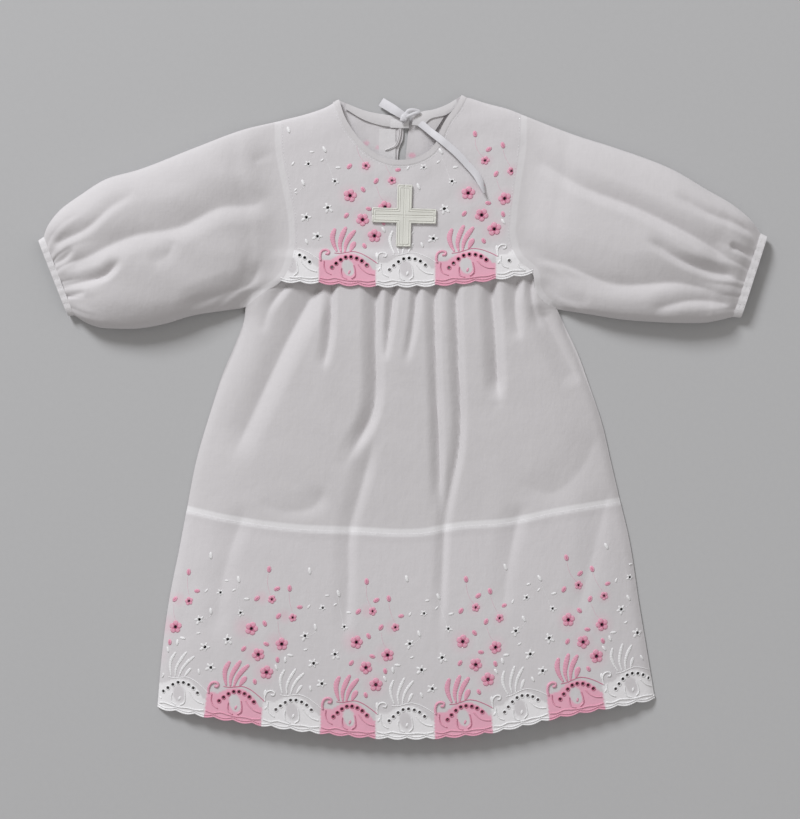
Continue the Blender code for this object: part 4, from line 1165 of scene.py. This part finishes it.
def solid_rules(pattern_of):
    """Where the border is worked solid: below a wavy line in each block, and along its edge."""

    def parts(points):
        u, v = pattern_of(points)
        within = np.mod(u, REPEAT)
        local = np.mod(within, BLOCK)
        top = np.interp(local, *zip(*SOLID_TOP))
        plain_u = (local - PLAIN_SPOT[0] - PLAIN_SPOT_LEAN * (13 - v)) / PLAIN_SPOT_SIZE[0]
        plain_v = (v - PLAIN_SPOT[1]) / PLAIN_SPOT_SIZE[1]
        patch_of_cloth = plain_u**2 + plain_v**2
        filled = np.clip((top - v) / 0.6 + 0.5, 0, 1) * np.clip((patch_of_cloth - 1) * 2, 0, 1)
        edge = np.clip((EDGE_RIDGE - v) / 0.5 + 0.5, 0, 1)
        pink = np.clip((20 - np.abs(within - 20)) / 0.6 + 0.5, 0, 1)
        haze = np.zeros(len(points))
        for flower in FLOWERS:
            if flower.colour == "pink":
                away = np.hypot(within - flower.u, v - flower.v) / (1.15 * flower.size)
                haze = np.maximum(haze, 0.28 * (1 - smoothstep(away)))
        return filled, edge, pink, haze

    def solid_pink(points):
        filled, edge, pink, haze = parts(points)
        return np.maximum(haze, pink * np.maximum(filled * 0.92, edge))

    def solid_white(points):
        filled, edge, pink, _ = parts(points)
        return (1 - pink) * np.maximum(filled * 0.65, edge)

    return {"solid_pink": solid_pink, "solid_white": solid_white}


def outline_of(*edges, steps):
    """A closed outline from edges that follow on from each other, without repeated corners."""
    return np.concatenate([sampled(edge, count)[:-1] for edge, count in zip(edges, steps)])


def keep_within(outline):
    return lambda points, margin: inside(points, outline) & (distance_to(points, outline) > margin)


def edge_cords(name, edge, pattern_xs, pattern_us, height, flip=False):
    """The corded edge along the scallops, in each block's own colour."""
    points = sampled(edge, 1100)
    pink = np.mod(np.interp(points[:, 0], pattern_xs, pattern_us), REPEAT) < BLOCK
    made = []
    for colour, chosen in (("pink", pink), ("white", ~pink)):
        lines = []
        for run in runs_of(chosen, 3):
            for rise in (EDGE_CORD, EDGE_RIDGE):
                laid = points[run] + (0, rise)
                lines.append(on_cloth(laid, height(laid) + (-0.1 if flip else WALL / 2)))
        if lines:
            thick = [(0.35 if flip else 0.9) * MM] * len(lines)
            made.append(corded(f"{name}_{colour}_edge", lines, thick, thread[colour]))
    return made


def embroidered_cloth(name, node, outline, values, spacing, worked, edge=None):
    """A panel and what is stitched on it; worked: how its pattern lies, edge: its scallops, if any."""
    lay, allowed, height, repeats, top, flip = worked
    eyelets, stitched = work_panel(name, lay, allowed, height, repeats, top, flip)
    if edge:
        stitched += edge_cords(name, *edge, height, flip)
    cloth = cut_cloth(name, outline, eyelets, height, spacing, embroidered, values)
    dress(cloth, "embroidered_batiste", node)
    for piece in stitched:
        dress(piece, "embroidered_batiste")
    return cloth, stitched


def make_hem_bands():
    outline = outline_of(hem_edge, reverse(hem_side_right), reverse(beside(hem_seam, 0.7)), hem_side_left,
                         steps=(HEM_SCALLOPS * 12 + 1, 110, 240, 110))
    values = solid_rules(hem_pattern)
    values["doubled"] = lambda points: np.clip(1.2 - distance_to(points, seam_fine) / 1.5, 0, 1)
    for name, node, height, spacing, flip in (
            ("front_hem_cloth", "front_hem_band", hem_height, 1.35, False),
            ("back_hem_cloth", "back_hem_band", back_height, 2.4, True)):
        worked = (lay_on_hem, keep_within(outline), height, range(-1, 5), 118, flip)
        cloth, stitched = embroidered_cloth(name, node, outline, values, spacing, worked,
                                            (hem_edge, hem_xs, hem_us))
        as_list(stitched)


yoke_edge = scalloped(yoke_line, YOKE_SCALLOPS)
yoke_xs, yoke_us = block_places(YOKE_BLOCKS)
yoke_fine = sampled(yoke_line, 400)
YOKE_PATTERN = 0.955


def yoke_foot(x):
    return np.interp(x, yoke_fine[:, 0], yoke_fine[:, 1])


def lay_on_yoke(pattern):
    x = np.interp(pattern[:, 0], yoke_us, yoke_xs)
    x[(pattern[:, 0] < yoke_us[0]) | (pattern[:, 0] > yoke_us[-1])] += OFF_CLOTH
    return np.column_stack((x, yoke_foot(x) + YOKE_PATTERN * pattern[:, 1]))


def yoke_pattern(plan):
    u = np.interp(plan[:, 0], yoke_xs, yoke_us)
    return u, (plan[:, 1] - yoke_foot(plan[:, 0])) / YOKE_PATTERN


def make_front_yoke():
    neck_edge = beside(neck_front, -CASING_WIDTH + 0.6)
    left = part_of(armhole_left, armhole_left.share_of(YOKE_TIP_LEFT), 1)
    right = part_of(armhole_right, armhole_right.share_of(YOKE_TIP_RIGHT), 1)
    outline = outline_of(yoke_edge, right, reverse(part_of(shoulder_right, 0.14, 1)), reverse(neck_edge),
                         reverse(part_of(shoulder_left, 0, 0.86)), reverse(left),
                         steps=(YOKE_SCALLOPS * 12 + 1, 90, 30, 120, 30, 90))
    sides = np.concatenate((sampled(left, 200), sampled(right, 200)))

    def allowed(points, margin):
        return keep_within(outline)(points, margin) & (distance_to(points, sides) > margin + 1.8)

    values = solid_rules(yoke_pattern)
    values["doubled"] = constant(0.0)
    worked = (lay_on_yoke, allowed, yoke_height, range(-1, 3), 124, False)
    cloth, stitched = embroidered_cloth("front_yoke_cloth", "front_yoke", outline, values, 1.15, worked,
                                        (yoke_edge, yoke_xs, yoke_us))
    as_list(stitched)


# Pink flowers of the back seen through it in the neck opening: place, half width, half height, strength
SEEN_FLOWERS = ((-25.6, 192.7, 2.6, 2.2, 0.6), (-17.5, 189.6, 2.0, 2.0, 0.5), (6.6, 184.0, 3.4, 2.2, 0.8))


def showing_through(points):
    told = np.zeros(len(points))
    for x, y, wide, tall, share in SEEN_FLOWERS:
        away = np.hypot((points[:, 0] - x) / wide, (points[:, 1] - y) / tall)
        told = np.maximum(told, share * np.clip((1 - away) * 2, 0, 1))
    return told


def make_back_yoke():
    """Back halves, open down the slit, with their embroidery on the side that faces down."""
    left = part_of(back_armhole_left, BACK_YOKE_SHARE, 1)
    right = part_of(back_armhole_right, BACK_YOKE_SHARE, 1)
    low_left = Path(left(0)[0], slit_left(0)[0])
    low_right = Path(slit_right(0)[0], right(0)[0])
    values = {"doubled": constant(0.0), "solid_pink": showing_through, "solid_white": constant(0.0)}
    halves = (
        ("back_yoke_left_cloth", "back_yoke_left",
         (low_left, slit_left, reverse(neck_back_left), reverse(shoulder_left), reverse(left))),
        ("back_yoke_right_cloth", "back_yoke_right",
         (low_right, right, reverse(shoulder_right), reverse(neck_back_right), reverse(slit_right))))
    for name, node, edges in halves:
        outline = outline_of(*edges, steps=(60, 80, 40, 40, 80))
        worked = (lay_on_yoke, keep_within(outline), back_height, range(-1, 3), 130, True)
        cloth, stitched = embroidered_cloth(name, node, outline, values, 1.6, worked)
        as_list(stitched)


def make_neckline():
    """The turned casings at the neck and the facing of the slit."""
    plan = straight_ended(beside(neck_front, -CASING_WIDTH), neck_front)
    along = sampled(neck_front, 300)

    def casing_height(points):
        away = distance_to(points, along)
        return yoke_height(points) + CASING_RISE * smoothstep((CASING_WIDTH + 0.05 - away) / 1.1) - 0.1

    casing = grid_cloth("front_casing_cloth", plan, casing_height, 200, 12, batiste,
                        {"doubled": constant(0.0)})
    dress(casing, "batiste", "neck_casing_front")

    on_back = BACK_MID + ON_TOP
    over_ribbon = BACK_MID + ON_TOP + RIBBON_WALL + LAYER_GAP
    bands = (
        ("back_casing_left_cloth", "neck_casing_back_left", on_back - 0.4, 0.047, 0.35,
         Path((-41, 217.0), (-26.5, 208.6), (-14, 204.8), (4.6, 203.6)),
         Path((-39.5, 220.4), (-26.5, 215.4), (-9.7, 212.2), (5.0, 210.4))),
        ("back_casing_right_cloth", "neck_casing_back_right", over_ribbon + 0.2, 0.031, 0.5,
         Path((6.4, 205.2), (14.6, 205.0), (18.6, 208.8), (30.7, 212.4), (38.5, 217.5)),
         Path((8.5, 213.2), (15, 214.9), (21, 215.8), (30.5, 219.2), (37.5, 223.2))))
    for name, node, level, length, share, low, top in bands:
        middle = (sampled(low, 200) + sampled(top, 200)) / 2

        def puffed(points, level=level, middle=middle):
            away = distance_to(points, middle)
            return level + 0.4 * np.clip(1 - (away / 4.4)**2, 0, 1)

        cloth = grid_cloth(name, straight_ended(low, top), puffed, 80, 14, batiste,
                           {"doubled": constant(share)})
        if name == "back_casing_left_cloth":
            tab = straight_ended(Path((-8.7, 203.4), (4.2, 203.0)), Path((-8.5, 209.2), (4.6, 209.4)))
            more = grid_cloth("back_casing_tab", tab, lambda points: puffed(points) + 0.45, 24, 12, batiste,
                              {"doubled": constant(0.9)})
        else:
            low, top = Path((16.0, 201.0), (22.6, 200.9)), Path((13.6, 208.0), (30.5, 213.4))
            flap = patch(low, top, Path(low(0)[0], top(0)[0]), Path(low(1)[0], (26, 206.0), top(1)[0]))
            more = grid_cloth("back_casing_flap", flap, constant(over_ribbon - 0.4), 24, 16, batiste,
                              {"doubled": constant(0.0)})
        dress(more, "batiste")
        dress(cloth, "batiste", node)

    plan = straight_ended(Path((-16.8, 160.0), (-5.0, 160.0)), Path((-16.8, 202.6), (-5.0, 202.6)))

    def embossed(points):
        return 1.35 + 0.14 * ripple(points, 1.2, 5.2, 0.2) * ripple(points, 0.1, 8.0, 1.3)

    facing = grid_cloth("slit_facing_cloth", plan, embossed, 30, 80, batiste, {"doubled": constant(0.55)})
    route = smooth_line(((0.0, 203.4), (-0.9, 196.0), (-3.4, 190.6), (-7.0, 188.6), (-10.2, 187.4)), 40)
    edging = [on_cloth(route + (shift, 0), np.full(len(route), 1.5)) for shift in (-1.2, -2.3)]
    rolled = corded("slit_rolled_edge", edging, [1.3 * MM] * 2, batiste)
    dress(rolled, "batiste")
    dress(facing, "batiste", "slit_facing")


# Sleeves and cuffs: places across a flattened tube, over its top from side to side and back underneath
EDGE_TURN = 0.07
TOP_STOPS = np.concatenate(([0.0, 0.006, 0.014, 0.026, 0.045, 0.065], np.linspace(0.09, 0.91, 72),
                            [0.935, 0.955, 0.974, 0.986, 0.994, 1.0]))
LOW_STOPS = np.array([0.994, 0.978, 0.955, 0.93, 0.86, 0.74, 0.60, 0.46, 0.32, 0.20, 0.12, 0.06, 0.04,
                      0.02, 0.006])
TUBE_STOPS = np.concatenate((TOP_STOPS, LOW_STOPS))
CUFF_DOME = 7.6


def tube_places(along):
    """For each point of a tube: its place along it, its place across it, and whether it lies on top."""
    upper = np.arange(len(TUBE_STOPS)) < len(TOP_STOPS)
    return np.repeat(along, len(TUBE_STOPS)), np.tile(TUBE_STOPS, len(along)), np.tile(upper, len(along))


def tube_cloth(name, node, plan, w, upper, top, side, doubled, wall=WALL):
    """A flattened tube, turned at its two sides, whose underside lies on the surface."""
    turn = np.clip(np.minimum(w, 1 - w) / EDGE_TURN, 0, 1)
    low = side - (side - BACK_LAYER) * np.sqrt(1 - (1 - turn)**2)
    z = np.where(upper, top, low)
    z = np.where(np.minimum(w, 1 - w) < 1e-9, side, z)
    faces = grid_faces(len(TUBE_STOPS), len(w) // len(TUBE_STOPS), closed=True)
    piece = mesh_piece(name, np.column_stack((plan, z)), faces, batiste, {"doubled": doubled})
    highest = max(piece.data.polygons, key=lambda face: face.center.z)
    if highest.normal.z < 0:
        piece.data.flip_normals()
    return dress(give_wall(piece, wall), "batiste", node)


def make_sleeve(name, node, armhole, back_armhole, upper, lower, cuff_seam, folds):
    cuff_line = Path(*cuff_seam)
    s, w, on_top = tube_places(np.linspace(0.0, 1.0, 150))
    top_points = patch(upper, lower, reverse(armhole), cuff_line)(s, w)
    low_points = patch(upper, lower, reverse(back_armhole), cuff_line)(s, w)
    crown = read_rows(SLEEVE_ROWS, "crown", s)
    side = read_rows(SLEEVE_ROWS, "side", s)
    near_armhole = 1 - smoothstep(s / 0.2)
    near_cuff = smoothstep((s - 0.75) / 0.25)
    fullness = 2.6 + 5 * np.maximum(near_armhole, near_cuff)
    dome = np.clip(1 - np.abs(2 * w - 1)**fullness, 0, 1)**0.6
    uneven = w + 0.018 * np.sin(17 * w + 1) + 0.012 * np.sin(41 * w)
    reach = 0.80 + 0.07 * np.sin(23 * w + 2)
    gathers = 0.7 * smoothstep((s - reach) / 0.16) * np.abs(np.sin(math.pi * CUFF_GATHERS * uneven)) * dome
    gathers -= 0.5 * smoothstep((s - 0.80) / 0.16) * dome
    lift = (crown - side) * dome
    full = side + lift - sink_folds(top_points, folds, lift, SLEEVE_STEEPNESS) + gathers
    full += dome * (0.22 * ripple(top_points, 1.2, 27, 0.7) + 0.10 * ripple(top_points, 0.5, 16, 1.3))
    seam = armhole_height(top_points)
    at_armhole = 1 - smoothstep(s / 0.16)
    top = full * (1 - at_armhole) + seam * at_armhole
    side = side * (1 - at_armhole) + (BACK_LAYER + (seam - BACK_LAYER) / 2) * at_armhole
    plan = np.where(on_top[:, None], top_points, low_points)
    at_head = distance_to(plan, sampled(armhole, 400))
    doubled = 0.4 * np.clip((4.4 - at_head) / 0.6 + 0.5, 0, 1)
    sleeve = tube_cloth(name, node, plan, w, on_top, top, side, doubled)


def cuff_crown(w):
    """A cuff across its width: the height of its sides, its dome from 0 to 1, and the height of its top."""
    side = float(read_rows(SLEEVE_ROWS, "side", 1.0))
    dome = np.clip(1 - np.abs(2 * w - 1)**CUFF_DOME, 0, 1)**0.6
    return side, dome, side + (CUFF_TOP + 0.25 - side) * dome


def make_cuff(name, node, cuff_seam, cuff_end):
    plan = patch(Path(cuff_seam[0], cuff_end[0]), Path(cuff_seam[1], cuff_end[1]), Path(*cuff_seam),
                 Path(*cuff_end))
    s, w, on_top = tube_places(np.linspace(-0.12, 1.0, 12))
    side, dome, crown = cuff_crown(w)
    top = crown + 0.14 * np.sin(2 * math.pi * CUFF_GATHERS * w) * dome
    clamped = np.clip(s, 0, 1)
    points = plan(clamped, w)
    points += (plan(np.ones(len(s)), w) - plan(np.zeros(len(s)), w)) * (s - clamped)[:, None]
    cuff = tube_cloth(name, node, points, w, on_top, top, side, np.full(len(s), 0.5), 0.5)


# Applied pieces
def make_cross():
    """Cream satin cross with a corded rim and a stitched line down each bar."""
    # Half the width of a bar, half the cross's width and half its height
    b, w, t = CROSS_BAR / 2, CROSS_SPAN[0] / 2, CROSS_SPAN[1] / 2
    corners = ((b, -b), (w, -b), (w, b), (b, b), (b, t), (-b, t), (-b, b), (-w, b), (-w, -b), (-b, -b),
               (-b, -t), (b, -t))
    runs = []
    for start, end in zip(corners, corners[1:] + corners[:1]):
        start, end = np.array(start), np.array(end)
        count = max(2, int(np.linalg.norm(end - start) / 0.9))
        runs.append(start + (end - start) * np.linspace(0, 1, count, endpoint=False)[:, None])
    flat = np.concatenate(runs)

    def laid(points):
        return spin(points, -CROSS_TILT) + np.array(CROSS_CENTRE)

    outline = laid(flat)

    def height(points):
        rise = np.clip(distance_to(points, outline) / 1.6, 0, 1)
        local = spin(points - np.array(CROSS_CENTRE), CROSS_TILT)
        groove = np.minimum(np.abs(local[:, 0]) + 10 * (np.abs(local[:, 1]) > t),
                            np.abs(local[:, 1]) + 10 * (np.abs(local[:, 0]) > w))
        return yoke_height(points) + 1.0 + 0.5 * np.sqrt(rise) - 0.25 * np.clip(1 - groove / 0.9, 0, 1)

    cloth = cut_cloth("cross_cloth", outline, [], height, 0.8, cross_satin, {})
    dress(cloth, "cross_satin", "cross_applique")
    lines, thick = [], []
    for inset, rise, width in ((0.55, 0.12, 1.1), (2.0, 0.1, 0.7)):
        ring = laid(flat - np.sign(flat) * inset)
        ring = np.concatenate((ring, ring[:1]))
        lines.append(on_cloth(ring, height(ring) + rise))
        thick.append(width * MM)
    across, up = w - 2, t - 2
    for side in (-0.75, 0.75):
        for ends in (((-across, side), (across, side)), ((side, -up), (side, up))):
            points = laid(sampled(Path(*ends), 50))
            lines.append(on_cloth(points, height(points) + 0.1))
            thick.append(0.5 * MM)
    rim = corded("cross_stitched_rim", lines, thick, cross_satin)
    dress(rim, "cross_satin")


TAIL_PLAN = ((12.4, 206.4), (15.6, 203.6), (19.1, 200.5), (23.6, 196.8), (28.5, 192.7), (32.6, 189.2),
             (36.6, 185.6), (41.0, 181.2), (45.0, 176.8), (48.6, 172.8), (51.9, 168.6), (54.8, 162.6),
             (57.0, 156.6))
TAIL_OVER_BACK = CLOTH + LAYER_GAP + RIBBON_WALL / 2
RIBBON_COLUMNS = 7
KNOT_CENTRE = (1.2, 210.2, CLOTH + ON_TOP + LAYER_GAP + 1.9)
# Turns of the knot: lean, half width, half height and reach
KNOT_TURNS = ((-0.5, 2.6, 1.0, 3.2), (0.6, 1.8, 1.1, 2.4))


def ribbon_strip(name, route, widths, twists, steps):
    """A flat satin ribbon along a route, slightly cupped across its width."""
    path = Path(*route)
    u = np.repeat(np.linspace(0, 1, steps), RIBBON_COLUMNS)
    v = np.tile(np.linspace(0, 1, RIBBON_COLUMNS), steps)
    centre = path(u)
    along = path(np.clip(u + 0.01, 0, 1)) - path(np.clip(u - 0.01, 0, 1))
    along /= np.linalg.norm(along, axis=1)[:, None]
    level = np.column_stack((-along[:, 1], along[:, 0], np.zeros(len(u))))
    level /= np.linalg.norm(level, axis=1)[:, None]
    up = np.cross(along, level)
    turn = np.radians(np.interp(u, np.linspace(0, 1, len(twists)), twists))[:, None]
    side = level * np.cos(turn) + up * np.sin(turn)
    out = np.cross(along, side)
    width = np.interp(u, np.linspace(0, 1, len(widths)), widths)[:, None]
    cup = 0.35 * (1 - (2 * v - 1)**2)[:, None]
    points = centre + side * width * (v[:, None] - 0.5) + out * cup
    piece = mesh_piece(name, points, grid_faces(RIBBON_COLUMNS, steps), ribbon_satin)
    return give_wall(piece, 0.3), centre[::RIBBON_COLUMNS]


def make_ribbon():
    tail = np.array(TAIL_PLAN)
    over_front = yoke_height(tail) + CLOTH / 2 + LAYER_GAP + RIBBON_WALL / 2 + 0.9
    heights = np.where(tail[:, 0] > 24, over_front, TAIL_OVER_BACK)
    heights[:4] = (3.4, 4.2, 5.2, (5.2 + heights[4]) / 2 + 0.2)
    heights[-3:] += (0.2, 0.7, 0.9)
    route = [(x, y, z) for (x, y), z in zip(TAIL_PLAN, heights)]
    long_tail, centre = ribbon_strip("ribbon_long_tail", route, (5.2, 4.6) + (5.0,) * 6 + (4.8, 3.6),
                                     (0, 0, 0, -6, -10, -10, -10, -12, -24, -62), 160)
    length = float(np.linalg.norm(np.diff(centre, axis=0), axis=1).sum()) * MM

    short, _ = ribbon_strip("ribbon_short_tail", ((2.2, 210.4, 4.6), (-3.0, 213.6, 4.8), (-9.0, 217.6, 3.4),
                                                  (-15.2, 221.6, 1.5)), (5.0, 6.4, 6.4), (0, 0), 50)
    bight, _ = ribbon_strip("ribbon_loop", ((1.6, 211.6, 5.0), (3.8, 214.6, 5.2), (7.6, 215.3, 5.2),
                                            (11.2, 214.2, 5.0), (7.6, 212.6, 5.4), (2.4, 210.4, 5.4)),
                            (2.2, 2.4, 2.4, 2.2, 2.0, 2.0), (0, 0, 10, 0, 0, 0), 70)
    knot = make_knot()
    for piece, node in ((short, "ribbon_tail_short"), (bight, "ribbon_bight"), (knot, "ribbon_knot"),
                        (long_tail, "ribbon_tail_long")):
        dress(piece, "ribbon_satin", node)
    [tuple(point) for point in centre * MM]


def make_knot():
    """The knot: two turns of ribbon pulled tight over each other."""
    columns, rows = 28, 9
    around = np.tile(2 * math.pi * np.arange(columns) / columns, rows)
    across = np.repeat(np.linspace(-1, 1, rows), columns)
    shrink = 1 - 0.35 * across**2
    points, faces = [], []
    for band, (lean, wide, tall, reach) in enumerate(KNOT_TURNS):
        local = np.column_stack((wide * shrink * np.cos(around),
                                 across * reach + 0.5 * np.sin(around * 2 + band),
                                 tall * shrink * np.sin(around) + 0.25 * band))
        local[:, :2] = spin(local[:, :2], lean)
        points.append(local + KNOT_CENTRE)
        start = band * columns * rows
        faces += [tuple(start + index for index in face) for face in grid_faces(columns, rows, closed=True)]
        first_ring = range(start, start + columns)
        last_ring = range(start + (rows - 1) * columns, start + rows * columns)
        faces += [tuple(reversed(first_ring)), tuple(last_ring)]
    return mesh_piece("ribbon_knot_wraps", np.concatenate(points), faces, ribbon_satin)


def make_stitching():
    """Machine stitching along the armholes, neckline and cuffs."""
    sew(armhole_left, armhole_height, -1.1, 260, 0.28, 0.98)
    sew(armhole_right, armhole_height, 1.1, 260, 0.28, 0.98)
    for offset in (-CASING_WIDTH + 0.5, -CASING_WIDTH - 0.7):
        sew(neck_front, yoke_height, offset, 240, 0.06, 0.94)
    w = np.linspace(0.05, 0.95, 60)
    _, _, crown = cuff_crown(w)
    for seam, end in ((CUFF_SEAM_LEFT, CUFF_END_LEFT), (CUFF_SEAM_RIGHT, CUFF_END_RIGHT)):
        for share in (0.25, 0.8):
            start, stop = (1 - share) * np.array(seam) + share * np.array(end)
            seam_lines.append(on_cloth(start + (stop - start) * w[:, None], crown + 0.3))
    stitches = run_tree(running_stitches, "machine_stitches", lines_mesh("stitches", seam_lines),
                        {"Pitch": 2.2 * MM, "Length": 0.8 * MM, "Thread": 0.15 * MM}, sewing)
    dress(stitches, "batiste")


FLOOR_HALF = 8000


def make_stage():
    corners = [(x * FLOOR_HALF, y * FLOOR_HALF, -0.3) for x, y in ((-1, -1), (1, -1), (1, 1), (-1, 1))]
    floor = mesh_piece("floor", corners, ((0, 1, 2, 3),), floor_paper())
    scene = bpy.context.scene
    camera = bpy.data.objects.new("camera", bpy.data.cameras.new("camera"))
    camera.data.lens = 85
    camera.data.sensor_fit = "VERTICAL"
    camera.data.sensor_height = 36
    camera.location = (-0.0019, 0.0052, 1.362)
    scene.collection.objects.link(camera)
    scene.camera = camera
    for name, place, size, power in (("key softbox", (-2.3, 3.7, 2.7), 1.4, 220),
                                     ("fill softbox", (1.6, -1.3, 2.0), 2.0, 7)):
        light = bpy.data.lights.new(name, "AREA")
        light.size = size
        light.energy = power
        light.color = (0.96, 0.975, 1.0)
        lamp = bpy.data.objects.new(name, light)
        lamp.location = place
        x, y, z = place
        lamp.rotation_euler = (math.atan2(math.hypot(x, y), z), 0, math.atan2(x, -y))
        scene.collection.objects.link(lamp)
    world = bpy.data.worlds.new("studio")
    world.use_nodes = True
    background = world.node_tree.nodes["Background"]
    background.inputs["Color"].default_value = (1.0, 0.975, 0.95, 1)
    background.inputs["Strength"].default_value = 0.36
    scene.world = world
    scene.view_settings.view_transform = "Standard"


def floor_paper():
    material, tree, shader = new_finish("pale paper", (0.50, 0.50, 0.505), 0.9)
    grain = noise(tree, coordinates(tree, (1, 1, 1)), 300, 3.0)
    paper = blend_colour(tree, grain, (0.49, 0.49, 0.495), (0.51, 0.51, 0.515))
    tree.links.new(paper, shader.inputs["Base Color"])
    return material


make_stage()
make_ribbon()
make_skirts()
make_hem_bands()
make_front_yoke()
make_back_yoke()
make_neckline()
make_sleeve("sleeve_left_cloth", "sleeve_left", armhole_left, back_armhole_left, sleeve_top_left,
            sleeve_low_left, CUFF_SEAM_LEFT, LEFT_SLEEVE_FOLDS)
make_sleeve("sleeve_right_cloth", "sleeve_right", armhole_right, back_armhole_right, sleeve_top_right,
            sleeve_low_right, CUFF_SEAM_RIGHT, RIGHT_SLEEVE_FOLDS)
make_cuff("cuff_left_cloth", "cuff_left", CUFF_SEAM_LEFT, CUFF_END_LEFT)
make_cuff("cuff_right_cloth", "cuff_right", CUFF_SEAM_RIGHT, CUFF_END_RIGHT)
make_cross()
make_stitching()
